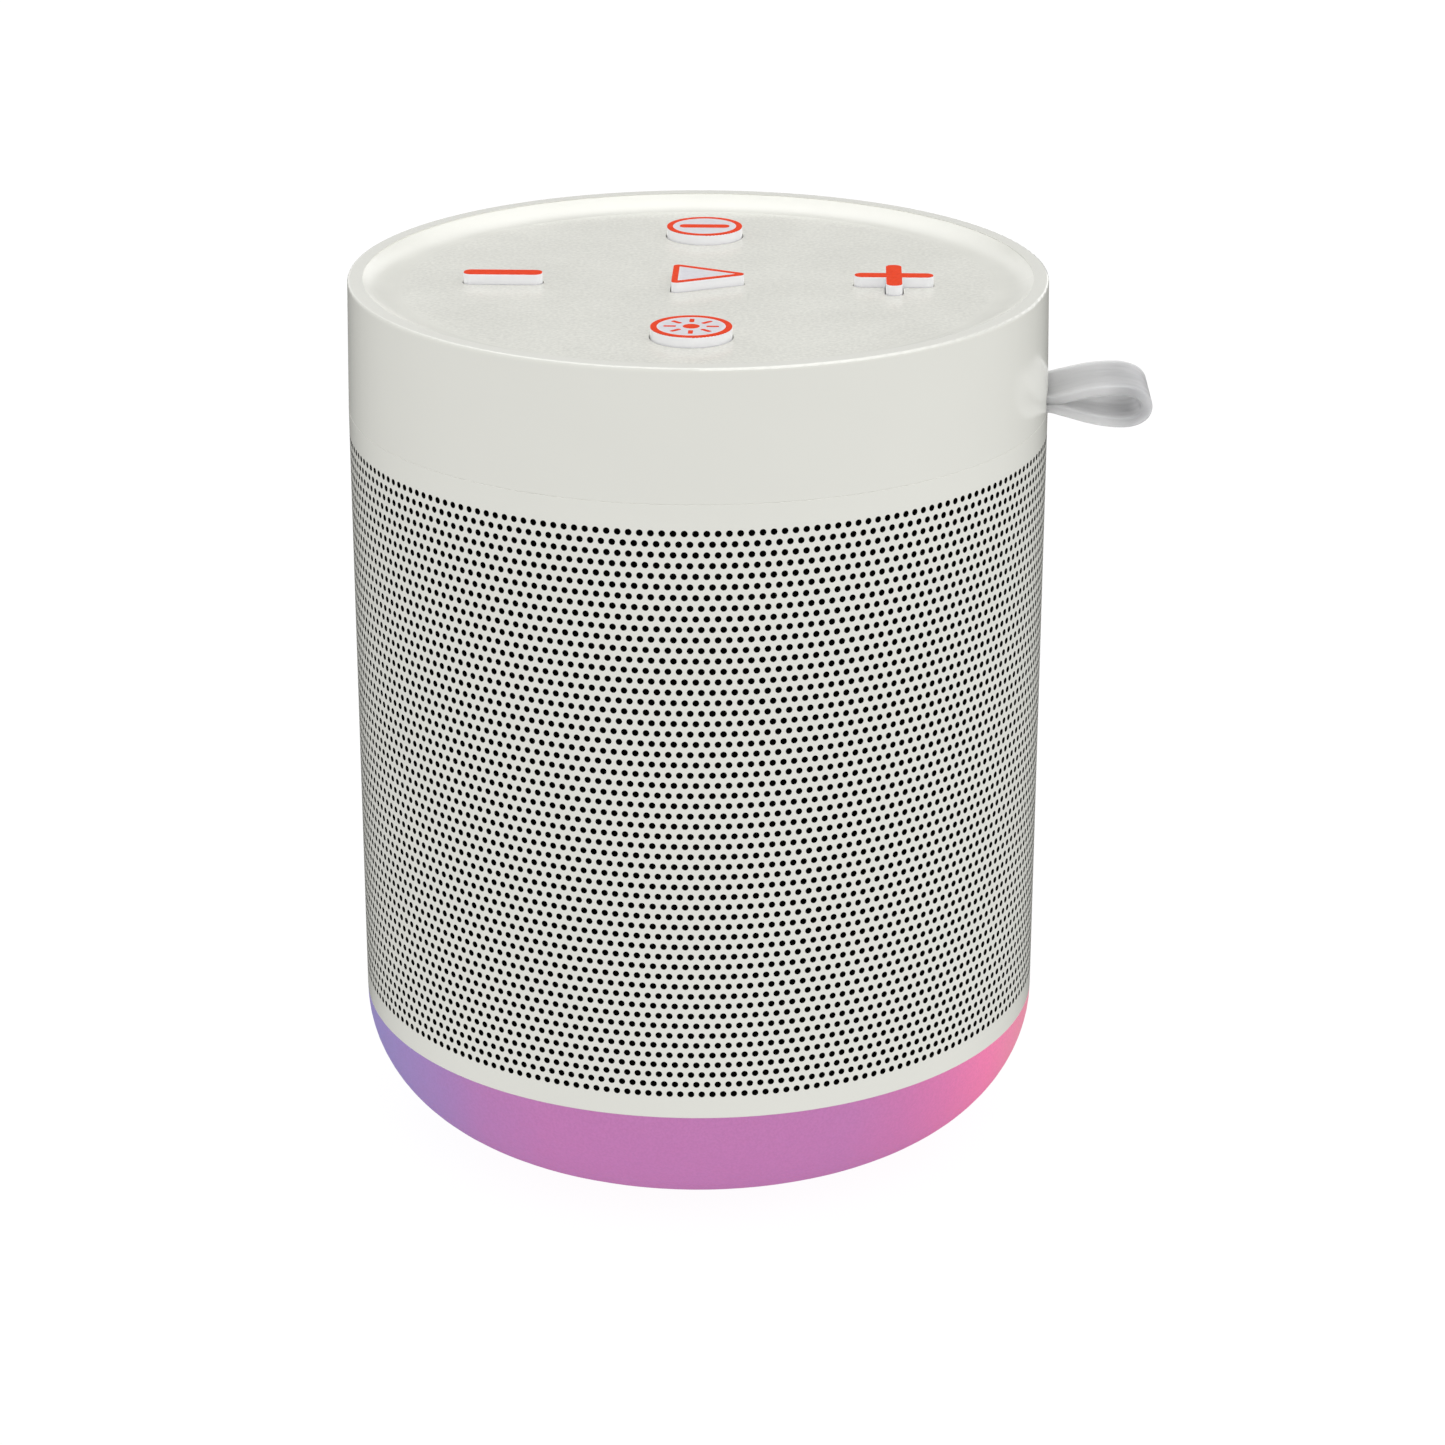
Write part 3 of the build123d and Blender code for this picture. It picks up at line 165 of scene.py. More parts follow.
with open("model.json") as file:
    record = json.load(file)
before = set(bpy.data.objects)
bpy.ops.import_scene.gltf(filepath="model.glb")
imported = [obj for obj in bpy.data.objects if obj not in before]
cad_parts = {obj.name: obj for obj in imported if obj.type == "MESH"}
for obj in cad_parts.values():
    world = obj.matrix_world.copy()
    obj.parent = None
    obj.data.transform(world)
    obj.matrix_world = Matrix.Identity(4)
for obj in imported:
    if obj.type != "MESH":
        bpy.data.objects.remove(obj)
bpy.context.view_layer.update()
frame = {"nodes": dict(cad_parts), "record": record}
BODY_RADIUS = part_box("grille")[1].x
RIM_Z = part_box("collar")[1].z


# Nodes


def add_node(tree, kind, inputs=None, **settings):
    """A node with its properties set, and its inputs linked or given their values."""
    made = tree.nodes.new(kind)
    for key, value in settings.items():
        setattr(made, key, value)
    for socket, value in (inputs or {}).items():
        if isinstance(value, bpy.types.NodeSocket):
            tree.links.new(value, made.inputs[socket])
        else:
            made.inputs[socket].default_value = value
    return made


def add_math(tree, operation, *values):
    return add_node(tree, "ShaderNodeMath", dict(enumerate(values)), operation=operation).outputs[0]


def add_step(tree, value, start, full, low, high, kind="SMOOTHSTEP"):
    """Carries a value's range from start to full over to the range from low to high."""
    inputs = {"Value": value, "From Min": start, "From Max": full, "To Min": low, "To Max": high}
    return add_node(tree, "ShaderNodeMapRange", inputs, interpolation_type=kind).outputs["Result"]


# Materials


def srgb(red, green, blue):
    """Linear colour with alpha from display values of 0 to 255."""
    values = [v / 255 for v in (red, green, blue)]
    return (*[v / 12.92 if v <= 0.04045 else ((v + 0.055) / 1.055) ** 2.4 for v in values], 1.0)


def scaled(colour, factor):
    return (*[min(1.0, c * factor) for c in colour[:3]], 1.0)


class Shader:
    """A material's Principled shader with short calls for the nodes that feed it."""

    def __init__(self, name, **settings):
        self.material = bpy.data.materials.new(name)
        self.material.use_nodes = True
        self.tree = self.material.node_tree
        self.main = self.tree.nodes["Principled BSDF"]
        self.coordinates = self.tree.nodes.new("ShaderNodeTexCoord").outputs["Object"]
        for socket, value in settings.items():
            self.main.inputs[socket.replace("_", " ")].default_value = value

    def node(self, kind, inputs=None, **settings):
        return add_node(self.tree, kind, inputs, **settings)

    def set(self, socket, value):
        self.tree.links.new(value, self.main.inputs[socket])

    def noise(self, size, detail=2.0, stretch=(1, 1, 1)):
        """Noise with features of about this size in metres, stretched along the axes."""
        where = self.node("ShaderNodeVectorMath", {0: self.coordinates, 1: stretch}, operation="MULTIPLY")
        settings = {"Vector": where.outputs[0], "Scale": 1 / size, "Detail": detail}
        return self.node("ShaderNodeTexNoise", settings).outputs["Fac"]

    def math(self, operation, *values):
        return add_math(self.tree, operation, *values)

    def span(self, value, low, high, new_low, new_high, kind="SMOOTHSTEP"):
        return add_step(self.tree, value, low, high, new_low, new_high, kind)

    def ramp(self, value, stops):
        """Colour ramp through (position, colour) stops."""
        made = self.node("ShaderNodeValToRGB", {"Fac": value})
        elements = made.color_ramp.elements
        for k, (position, colour) in enumerate(stops):
            element = elements[k] if k < 2 else elements.new(position)
            element.position = position
            element.color = colour
        return made.outputs["Color"]

    def colours(self, value, dark, light):
        self.set("Base Color", self.ramp(value, [(NOISE_LOW, dark), (NOISE_HIGH, light)]))

    def roughness(self, value, low, high):
        self.set("Roughness", self.span(value, NOISE_LOW, NOISE_HIGH, low, high))

    def relief(self, height, depth):
        """Bump of a height pattern from 0 to 1 that stands this many metres deep."""
        made = self.node("ShaderNodeBump", {"Height": height, "Distance": depth, "Strength": 1.0})
        self.set("Normal", made.outputs["Normal"])

    def axis(self, name):
        return self.node("ShaderNodeSeparateXYZ", {0: self.coordinates}).outputs[name]

    def stripes(self, name, spacing):
        """Rounded stripes across one axis, from 0 to 1."""
        wave = self.math("SINE", self.math("MULTIPLY", self.axis(name), 2 * pi / spacing))
        return self.math("MULTIPLY_ADD", wave, 0.5, 0.5)


def plain_surface(name, colour, roughness, grain, depth, variation, **settings):
    """Slow mottling in the colour, and a fine grain in the gloss and the relief."""
    shader = Shader(name, **settings)
    mottle = shader.noise(MOTTLE_SIZE, 4.0)
    shader.colours(mottle, scaled(colour, 1 - variation), scaled(colour, 1 + variation))
    fine = shader.noise(grain, 3.0)
    shader.roughness(fine, roughness * 0.9, roughness * 1.1)
    shader.relief(fine, depth)
    return shader.material


SHELL_COLOUR = srgb(224, 224, 217)
PANEL_COLOUR = srgb(227, 227, 219)


def white_shell():
    """Smooth moulding, with a painted highlight that makes it a touch paler round its rim."""
    shader = Shader("white_shell")
    mottle = shader.noise(MOTTLE_SIZE, 4.0)
    # Painted highlight: the colour grows paler towards the rim's top
    rim = shader.span(shader.axis("Z"), RIM_Z - RIM_HIGHLIGHT_START, RIM_Z - RIM_HIGHLIGHT_FULL, *RIM_PAINTED_HIGHLIGHT)
    tone_and_painted_light = shader.math("MULTIPLY_ADD", mottle, SHELL_MOTTLE, rim)
    shader.colours(tone_and_painted_light, *[scaled(SHELL_COLOUR, factor) for factor in SHELL_SHADES_AND_RIM_HIGHLIGHT])
    fine = shader.noise(0.5 * MM, 3.0)
    shader.roughness(fine, 0.18, 0.21)
    shader.relief(fine, 0.0004 * MM)
    return shader.material


def white_panel():
    """Dished panel: a fine spark grain on the flat, and a polished curve up to the rim."""
    shader = Shader("white_panel")
    flat = shader.node("ShaderNodeVectorMath", {0: shader.coordinates, 1: (1, 1, 0)}, operation="MULTIPLY")
    radius = shader.node("ShaderNodeVectorMath", {0: flat.outputs[0]}, operation="LENGTH").outputs["Value"]
    grained = shader.span(radius, PANEL_FLAT_RADIUS - PANEL_GRAIN_FADE, PANEL_FLAT_RADIUS, 1.0, 0.0)
    speckle = shader.math("SUBTRACT", shader.noise(PANEL_GRAIN_SIZE, 3.0), 0.5)
    grain = shader.math("MULTIPLY_ADD", speckle, grained, 0.5)
    slow = shader.noise(9 * MM, 3.0)
    drift = shader.math("MULTIPLY", slow, 1 - PANEL_GRAIN_SHARE)
    both = shader.math("MULTIPLY_ADD", grain, PANEL_GRAIN_SHARE, drift)
    shader.colours(both, *[scaled(PANEL_COLOUR, factor) for factor in PANEL_SHADES])
    shader.roughness(slow, 0.18, 0.22)
    shader.relief(grain, PANEL_GRAIN_DEPTH)
    return shader.material


def hole_wall_shade():
    """Near-black painted shade on the hole walls and the sheet's inner face, so that the holes stay dark.
    """
    shader = Shader("hole_wall_shade", Specular_IOR_Level=0.1)
    shade_grain = shader.noise(0.4 * MM, 3.0)
    shader.colours(shade_grain, srgb(3, 3, 3), srgb(10, 10, 10))
    shader.roughness(shade_grain, 0.6, 0.75)
    return shader.material


def orange_print():
    """Screen print, a little uneven in density."""
    shader = Shader("orange_print", Specular_IOR_Level=0.04)
    shader.colours(shader.noise(0.5 * MM, 3.0), srgb(216, 60, 24), srgb(228, 68, 30))
    shader.roughness(shader.noise(0.3 * MM), 0.55, 0.65)
    shader.relief(shader.noise(0.15 * MM), 0.001 * MM)
    return shader.material


def grey_print():
    shader = Shader("grey_print", Specular_IOR_Level=0.2)
    shader.colours(shader.noise(0.6 * MM, 3.0), srgb(209, 208, 214), srgb(217, 216, 221))
    shader.roughness(shader.noise(0.4 * MM), 0.3, 0.4)
    shader.relief(shader.noise(0.2 * MM), 0.001 * MM)
    return shader.material


DIFFUSER_STOPS = [
    (-1.0, (146, 137, 192)),
    (-0.89, (154, 135, 192)),
    (-0.72, (166, 128, 186)),
    (-0.58, (182, 122, 180)),
    (-0.40, (191, 120, 178)),
    (0.45, (192, 120, 177)),
    (0.61, (203, 119, 174)),
    (0.73, (218, 121, 173)),
    (0.86, (239, 127, 173)),
    (1.0, (232, 150, 168)),
]


def diffuser():
    """Frosted cup lit from inside: lavender at one side, pink in the middle, coral at the other."""
    shader = Shader("diffuser", Subsurface_Weight=0.25, Subsurface_Scale=3 * MM)
    across = shader.math("DIVIDE", shader.axis("X"), BODY_RADIUS)
    frost = shader.noise(0.3 * MM)
    shader.set("Emission Strength", shader.span(frost, NOISE_LOW, NOISE_HIGH, *DIFFUSER_GLOW))
    cloud = shader.math("MULTIPLY_ADD", shader.noise(14 * MM), DIFFUSER_CLOUD, -DIFFUSER_CLOUD / 2)
    place = shader.span(shader.math("ADD", across, cloud), -1.0, 1.0, 0.0, 1.0, "LINEAR")
    lit = [((p + 1) / 2, srgb(*c)) for p, c in DIFFUSER_STOPS]
    shader.set("Emission Color", shader.ramp(place, lit))
    shader.set("Base Color", shader.ramp(place, [(p, scaled(c, DIFFUSER_UNLIT)) for p, c in lit]))
    shader.roughness(shader.noise(4 * MM, 3.0), 0.36, 0.44)
    shader.relief(shader.noise(0.4 * MM), 0.002 * MM)
    return shader.material


def grey_silicone():
    """Milky grey silicone, streaked along its length, with painted shade that darkens it towards the
    loop's outer bend.
    """
    shader = Shader("grey_silicone", Subsurface_Weight=1.0, Subsurface_Scale=8 * MM)
    shader.main.inputs["Subsurface Radius"].default_value = (1, 1, 1)
    streaks = shader.noise(3 * MM, 4.0, stretch=(0.6, 3, 2))
    # Painted shade: darker towards the loop's outer bend
    fold_shade = shader.span(shader.axis("X"), RIBBON_FOLD_SHADE_START, RIBBON_FOLD_SHADE_END, *RIBBON_FOLD_PAINTED_SHADE)
    fold_shaded_level = shader.math("ADD", fold_shade, RIBBON_BASE_SHADE)
    tone_and_painted_light = shader.math("MULTIPLY_ADD", streaks, RIBBON_STREAKS, fold_shaded_level)
    shader.colours(tone_and_painted_light, srgb(152, 152, 154), srgb(188, 188, 189))
    shader.roughness(shader.noise(2 * MM, 3.0), 0.4, 0.5)
    shader.relief(shader.noise(0.35 * MM, 3.0), 0.003 * MM)
    return shader.material


def black_cloth():
    """Plain weave round the body: warp and weft cross in turn."""
    shader = Shader("black_cloth", Specular_IOR_Level=0.1)
    places = shader.node("ShaderNodeSeparateXYZ", {0: shader.coordinates}).outputs
    turn = shader.math("ARCTAN2", places["X"], places["Y"])
    warp = shader.math("SINE", shader.math("MULTIPLY", turn, BODY_RADIUS * pi / CLOTH_THREAD))
    weft = shader.math("SINE", shader.math("MULTIPLY", places["Z"], pi / CLOTH_THREAD))
    weave = shader.math("MULTIPLY_ADD", shader.math("MULTIPLY", warp, weft), 0.5, 0.5)
    shader.colours(weave, srgb(3, 3, 3), srgb(12, 12, 12))
    shader.roughness(shader.noise(0.3 * MM), 0.85, 0.95)
    shader.relief(weave, 0.05 * MM)
    return shader.material


def cone_paper():
    """Pressed pulp with short fibres."""
    shader = Shader("cone_paper")
    fibres = shader.noise(0.5 * MM, 5.0, stretch=(1, 4, 1))
    shader.colours(fibres, srgb(34, 33, 32), srgb(58, 56, 54))
    shader.roughness(fibres, 0.7, 0.85)
    shader.relief(fibres, 0.02 * MM)
    return shader.material


def spider_cloth():
    """Resin-dipped cotton."""
    shader = Shader("spider_cloth")
    threads = shader.math("MULTIPLY", *[shader.stripes(axis, SPIDER_THREAD) for axis in "XZ"])
    shader.colours(threads, srgb(168, 122, 52), srgb(214, 172, 96))
    shader.roughness(shader.noise(1 * MM), 0.6, 0.75)
    shader.relief(threads, 0.03 * MM)
    return shader.material


def metal(name, dark, light, roughness, stretch=(1, 1, 1), size=0.4 * MM):
    shader = Shader(name, Metallic=1.0)
    marks = shader.noise(size, 4.0, stretch)
    shader.colours(marks, dark, light)
    shader.roughness(marks, roughness - 0.06, roughness + 0.08)
    shader.relief(marks, 0.001 * MM)
    return shader.material


def ferrite():
    """Sintered magnet: dark, with bright crystal flecks."""
    shader = Shader("ferrite")
    flecks = shader.noise(0.3 * MM, 5.0)
    shader.set("Base Color", shader.ramp(flecks, [(0.45, srgb(36, 36, 38)), (0.75, srgb(88, 88, 92))]))
    shader.roughness(flecks, 0.5, 0.7)
    shader.relief(flecks, 0.01 * MM)
    return shader.material


def copper_coil():
    """Enamelled wire wound side by side."""
    shader = Shader("copper_coil", Metallic=1.0)
    turns = shader.stripes("Y", COIL_WIRE)
    shader.colours(turns, srgb(112, 52, 24), srgb(214, 130, 78))
    shader.roughness(turns, 0.3, 0.4)
    shader.relief(turns, 0.05 * MM)
    return shader.material


def green_board():
    """Solder mask over copper traces and tinned pads."""
    shader = Shader("green_board", Coat_Weight=0.4, Coat_Roughness=0.2)
    rows = shader.math("GREATER_THAN", shader.stripes("X", TRACE_SPACING[0]), TRACE_EDGE[0])
    columns = shader.math("GREATER_THAN", shader.stripes("Y", TRACE_SPACING[1]), TRACE_EDGE[1])
    patches = shader.math("GREATER_THAN", shader.noise(7 * MM, 1.0), 0.5)
    first = shader.math("MULTIPLY", rows, patches)
    second = shader.math("MULTIPLY", columns, shader.math("SUBTRACT", 1.0, patches))
    traces = shader.math("MAXIMUM", first, second)
    shader.set("Base Color", shader.ramp(traces, [(0.0, srgb(12, 74, 38)), (1.0, srgb(34, 112, 62))]))
    shader.roughness(shader.noise(2 * MM), 0.35, 0.45)
    shader.relief(traces, 0.03 * MM)
    return shader.material


def cell_sleeve():
    """Shrink sleeve with slight wrinkles round the cell's ends."""
    shader = Shader("cell_sleeve", Coat_Weight=0.3)
    wrinkles = shader.noise(1.2 * MM, 3.0, stretch=(1, 1, 0.15))
    shader.colours(shader.noise(10 * MM), srgb(44, 92, 148), srgb(56, 110, 168))
    shader.roughness(wrinkles, 0.25, 0.35)
    shader.relief(wrinkles, 0.03 * MM)
    return shader.material


# Moulded, painted and rubber surfaces: colour, roughness, grain size, grain depth and mottling
PLAIN_SURFACES = {
    "white_grille": (SHELL_COLOUR, 0.18, 0.8 * MM, 0.0006 * MM, 0.01),
    "white_button": (srgb(241, 241, 244), 0.16, 0.6 * MM, 0.0005 * MM, 0.006),
    "white_silicone": (srgb(222, 222, 215), 0.4, 0.35 * MM, 0.003 * MM, 0.01),
    "dark_rubber": (srgb(70, 70, 72), 0.7, 0.25 * MM, 0.006 * MM, 0.12),
    "seal_rubber": (srgb(88, 88, 92), 0.7, 0.25 * MM, 0.006 * MM, 0.12),
    "grey_plastic": (srgb(204, 204, 200), 0.5, 0.4 * MM, 0.006 * MM, 0.03),
    "black_plastic": (srgb(40, 40, 42), 0.45, 0.4 * MM, 0.006 * MM, 0.1),
    "radiator_plate": (srgb(52, 52, 54), 0.35, 0.5 * MM, 0.003 * MM, 0.1),
    "led_package": (srgb(240, 236, 210), 0.2, 0.8 * MM, 0.002 * MM, 0.04),
    "chip_black": (srgb(38, 38, 40), 0.5, 0.2 * MM, 0.004 * MM, 0.12),
    "plunger_black": (srgb(56, 56, 58), 0.4, 0.3 * MM, 0.003 * MM, 0.1),
    "red_lead": (srgb(182, 42, 34), 0.4, 0.5 * MM, 0.004 * MM, 0.06),
}

# What some of them have beside that
SURFACE_SETTINGS = {
    "white_silicone": {"Subsurface_Weight": 0.15, "Subsurface_Scale": 1 * MM},
    "led_package": {"Coat_Weight": 0.6},
}

MATERIALS = {
    "white_shell": white_shell(),
    "white_panel": white_panel(),
    "diffuser": diffuser(),
    "grey_silicone": grey_silicone(),
    "black_cloth": black_cloth(),
    "cone_paper": cone_paper(),
    "spider_cloth": spider_cloth(),
    "steel": metal("steel", srgb(168, 168, 170), srgb(206, 206, 206), 0.28, stretch=(1, 6, 1)),
    "screw_steel": metal("screw_steel", srgb(146, 146, 150), srgb(196, 196, 200), 0.32),
    "ferrite": ferrite(),
    "copper_coil": copper_coil(),
    "green_board": green_board(),
    "cell_sleeve": cell_sleeve(),
}
for surface, values in PLAIN_SURFACES.items():
    MATERIALS[surface] = plain_surface(surface, *values, **SURFACE_SETTINGS.get(surface, {}))
ORANGE = orange_print()
GREY = grey_print()
HOLE_WALL_SHADE = hole_wall_shade()


def dress_cad():
    """Gives every CAD node the material of its slot, and smooth shading between its sharp edges."""
    for part in frame["record"]["subparts"]:
        mesh = frame["nodes"][part["node"]].data
        mesh.materials.clear()
        mesh.materials.append(MATERIALS[part["material_slot"]])
        mesh.shade_smooth()
        mesh.set_sharp_from_angle(angle=radians(SHARP_ANGLE))


# Mesh pieces


def piece(name, vertices, faces, material, slot, sharp=SHARP_ANGLE):
    """A closed mesh with smooth shading and sharp edges over the given angle."""
    mesh = bpy.data.meshes.new(name)
    mesh.from_pydata(vertices, [], faces)
    mesh.validate()
    mesh.shade_smooth()
    mesh.set_sharp_from_angle(angle=radians(sharp))
    mesh.materials.append(material)
    made = bpy.data.objects.new(name, mesh)
    bpy.context.scene.collection.objects.link(made)
    return made


def loft(rings, closed=False):
    """Vertices and faces through equal rings, either closed on to the first ring or with capped ends."""
    count = len(rings[0])
    vertices = [v for ring in rings for v in ring]
    faces = []
    for k in range(len(rings) if closed else len(rings) - 1):
        low, high = k * count, (k + 1) % len(rings) * count
        for i in range(count):
            j = (i + 1) % count
            faces.append((low + i, low + j, high + j, high + i))
    if not closed:
        faces.append(tuple(reversed(range(count))))
        faces.append(tuple(range(len(vertices) - count, len(vertices))))
    return vertices, faces


# Grille: rows of round holes, each row half a pitch on from the last


def band_vertices(rows, hole_z, radii):
    """Every corner of the cells and holes of some rows, on the outer and the inner face."""
    half_row = abs(hole_z[1] - hole_z[0]) / 2
    lines = [hole_z[r] + half_row for r in rows] + [hole_z[rows[-1]] - half_row]
    points = []
    for radius in radii:
        for z in lines:
            for k in range(2 * HOLES_ROUND):
                points.append((radius, GRILLE_TURN + k * HALF_PITCH, z))
        for row in rows:
            for j in range(HOLES_ROUND):
                middle = GRILLE_TURN + (2 * j + row % 2) * HALF_PITCH
                for side in range(HOLE_SIDES):
                    angle = pi / 2 - side * 2 * pi / HOLE_SIDES
                    across = HOLE_RADIUS * cos(angle) / BODY_RADIUS
                    points.append((radius, middle + across, hole_z[row] + HOLE_RADIUS * sin(angle)))
    return [(r * sin(a), -r * cos(a), z) for r, a, z in points]


def band_faces(rows):
    """Six faces round each hole on both sides of the sheet, and the hole's wall between them."""
    around = 2 * HOLES_ROUND
    lines = len(rows) + 1
    hole_start = lines * around
    layer = hole_start + len(rows) * HOLES_ROUND * HOLE_SIDES
    faces = []
    for r, row in enumerate(rows):
        upper, lower = r * around, (r + 1) * around
        for j in range(HOLES_ROUND):
            k = 2 * j + row % 2
            left, middle, right = (k - 1) % around, k % around, (k + 1) % around
            corners = [upper + middle, upper + right, lower + right]
            corners += [lower + middle, lower + left, upper + left]
            hole = hole_start + (r * HOLES_ROUND + j) * HOLE_SIDES
            for c in range(6):
                start, end = corners[c], corners[(c + 1) % 6]
                rim = [hole + 2 * c, hole + 2 * c + 1, hole + (2 * c + 2) % HOLE_SIDES]
                outer = (end, start, rim[0], rim[1], rim[2])
                faces.append(outer)
                faces.append(tuple(v + layer for v in reversed(outer)))
            for side in range(HOLE_SIDES):
                a, b = hole + side, hole + (side + 1) % HOLE_SIDES
                faces.append((b, a, a + layer, b + layer))
    return faces, layer


def edge_rings(ring_start, profile, vertices, faces, layer, upward):
    """Carries both faces of the sheet from a ring of cell corners on to a plain border's edge."""
    around = 2 * HOLES_ROUND
    angles = [GRILLE_TURN + k * HALF_PITCH for k in range(around)]
    rings = [[ring_start + k for k in range(around)]]
    for radius, z in profile:
        start = len(vertices)
        vertices.extend((radius * sin(a), -radius * cos(a), z) for a in angles)
        rings.append(list(range(start, start + around)))
    rings.append([ring_start + layer + k for k in range(around)])
    for first, second in zip(rings, rings[1:]):
        for k in range(around):
            n = (k + 1) % around
            face = (first[k], first[n], second[n], second[k])
            faces.append(face if upward else tuple(reversed(face)))


def grille_band(number, rows, hole_z, top_z, bottom_z):
    """One closed hoop of the perforated sheet."""
    outer, inner = BODY_RADIUS, BODY_RADIUS - SHEET_THICKNESS
    vertices = band_vertices(rows, hole_z, (outer, inner))
    faces, layer = band_faces(rows)
    top_profile, bottom_profile = [], []
    if rows[0] == 0:
        chamfered = [(outer, top_z - SHEET_CHAMFER), (outer - SHEET_CHAMFER, top_z)]
        top_profile = chamfered + [(inner, top_z)]
    if rows[-1] == HOLE_ROWS - 1:
        chamfered = [(outer, bottom_z + SHEET_CHAMFER), (outer - SHEET_CHAMFER, bottom_z)]
        bottom_profile = chamfered + [(inner, bottom_z)]
    edge_rings(0, top_profile, vertices, faces, layer, True)
    edge_rings(2 * HOLES_ROUND * len(rows), bottom_profile, vertices, faces, layer, False)
    band = piece(f"grille_band_{number}", vertices, faces, MATERIALS["white_grille"], "white_grille")
    # Painted shade: the hole walls and the inner face take the near-black finish
    shade_inside_faces(band.data, outer - 2 * SHEET_CHAMFER)
    return band


def shade_inside_faces(mesh, radius):
    """Paints shade on the hole walls and the inner face; the white coat stays on the outer face only."""
    mesh.materials.append(HOLE_WALL_SHADE)
    for face in mesh.polygons:
        if hypot(face.center.x, face.center.y) < radius:
            face.material_index = 1


def make_grille():
    low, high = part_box("grille")
    hole_z = np.linspace(high.z - TOP_BORDER, low.z + BOTTOM_BORDER, HOLE_ROWS)
    for k in range(HOLE_ROWS // ROWS_PER_BAND):
        rows = list(range(k * ROWS_PER_BAND, (k + 1) * ROWS_PER_BAND))
        band = grille_band(k + 1, rows, hole_z, high.z, low.z)
        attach(band, "housing")
        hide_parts("grille")


# Carrying loop: one ribbon, out along the top, round the fold and back underneath


def bezier(p0, p1, p2, p3, steps):
    """Points of a cubic curve after its start."""
    points = []
    for k in range(1, steps + 1):
        t = k / steps
        u = 1 - t
        weights = (u**3, 3 * u * u * t, 3 * u * t * t, t**3)
        points.append(sum((w * Vector(p) for w, p in zip(weights, (p0, p1, p2, p3))), Vector((0, 0))))
    return points


def smooth(value, low, high):
    """From 0 at low to 1 at high, with level ends."""
    t = min(1.0, max(0.0, (value - low) / (high - low)))
    return t * t * (3 - 2 * t)


def ribbon_thickness(x):
    """The collar squeezes the ribbon a little where it grips it."""
    free = smooth(x, BODY_RADIUS, BODY_RADIUS + RIBBON_SWELL)
    return RIBBON_GRIPPED + (RIBBON_THICKNESS - RIBBON_GRIPPED) * free


def ribbon_half(start_x, tip_x):
    """Upper half of the ribbon's middle line, as (x, height over the slit)."""
    touch = RIBBON_GRIPPED / 2
    start = Vector((start_x, touch))
    wall = Vector((RIBBON_RISE_X, touch))
    crest = Vector((RIBBON_CREST_X, RIBBON_CREST))
    tip = Vector((tip_x, 0))
    line = [start, start.lerp(wall, 0.5), wall]
    run = crest - wall
    first, last = RIBBON_RISE_HANDLES
    rise = wall + Vector((run.x * first, RIBBON_RISE))
    line += bezier(wall, rise, crest - Vector((run.x * last, 0)), crest, RIBBON_RISE_STEPS)
    over = crest + Vector(((tip.x - crest.x) * RIBBON_TIP_HANDLE, 0))
    down = tip + Vector((0, RIBBON_CREST * RIBBON_TIP_HANDLE))
    line += bezier(crest, over, down, tip, RIBBON_TIP_STEPS)
    return line


def ribbon_section(half_width, thickness):
    """Rounded flat bar as (along the width, through the thickness)."""
    half = thickness / 2
    corners = [(half_width, -half), (half_width, half), (-half_width, half), (-half_width, -half)]
    return rounded(corners, RIBBON_EDGE_ROUND, 0.0)


def make_strap():
    low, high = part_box("strap_loop")
    middle_z = (low.z + high.z) / 2
    upper = ribbon_half(BODY_RADIUS - RIBBON_BURIED, high.x - RIBBON_THICKNESS / 2)
    line = upper + [Vector((p.x, -p.y)) for p in reversed(upper[:-1])]
    half_width = (high.y - low.y) / 2
    rings = []
    for k, point in enumerate(line):
        ahead = line[min(k + 1, len(line) - 1)]
        behind = line[max(k - 1, 0)]
        along = (ahead - behind).normalized()
        out = Vector((-along.y, along.x))
        z = middle_z + point.y - RIBBON_DROOP * smooth(point.x, BODY_RADIUS, high.x)
        section = ribbon_section(half_width, ribbon_thickness(point.x))
        rings.append([(point.x + out.x * t, y, z + out.y * t) for y, t in section])
    slot = "grey_silicone"
    strap = piece("carrying_strap", *loft(rings), MATERIALS[slot], slot, sharp=RIBBON_SHARP_ANGLE)
    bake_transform(strap)
    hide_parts("strap_root", "strap_loop")


# Print on the button caps


def circle(radius, steps=CIRCLE_STEPS):
    return [(radius * cos(2 * pi * k / steps), radius * sin(2 * pi * k / steps)) for k in range(steps)]


def rounded(corners, radius, inset):
    """Outline with rounded outward corners, moved in by inset. Corners go anticlockwise."""
    points = []
    for k, corner in enumerate(corners):
        here = Vector(corner)
        back = (Vector(corners[k - 1]) - here).normalized()
        on = (Vector(corners[(k + 1) % len(corners)]) - here).normalized()
        half = back.angle(on) / 2
        bisector = (back + on).normalized()
        outward_corner = on.cross(back) > 0
        moved = here + bisector * (inset if outward_corner else -inset) / sin(half)
        if not outward_corner:
            points.append(tuple(moved))
            continue
        turn_radius = max(radius - inset, LEAST_TURN)
        centre = moved + bisector * turn_radius / sin(half)
        first = moved + back * turn_radius / tan(half) - centre
        sweep = pi - 2 * half
        for s in range(ARC_STEPS + 1):
            swing = Matrix.Rotation(sweep * s / ARC_STEPS, 2)
            points.append(tuple(centre + swing @ first))
    return points


def rectangle(length, width):
    x, y = length / 2, width / 2
    return [(x, -y), (x, y), (-x, y), (-x, -y)]


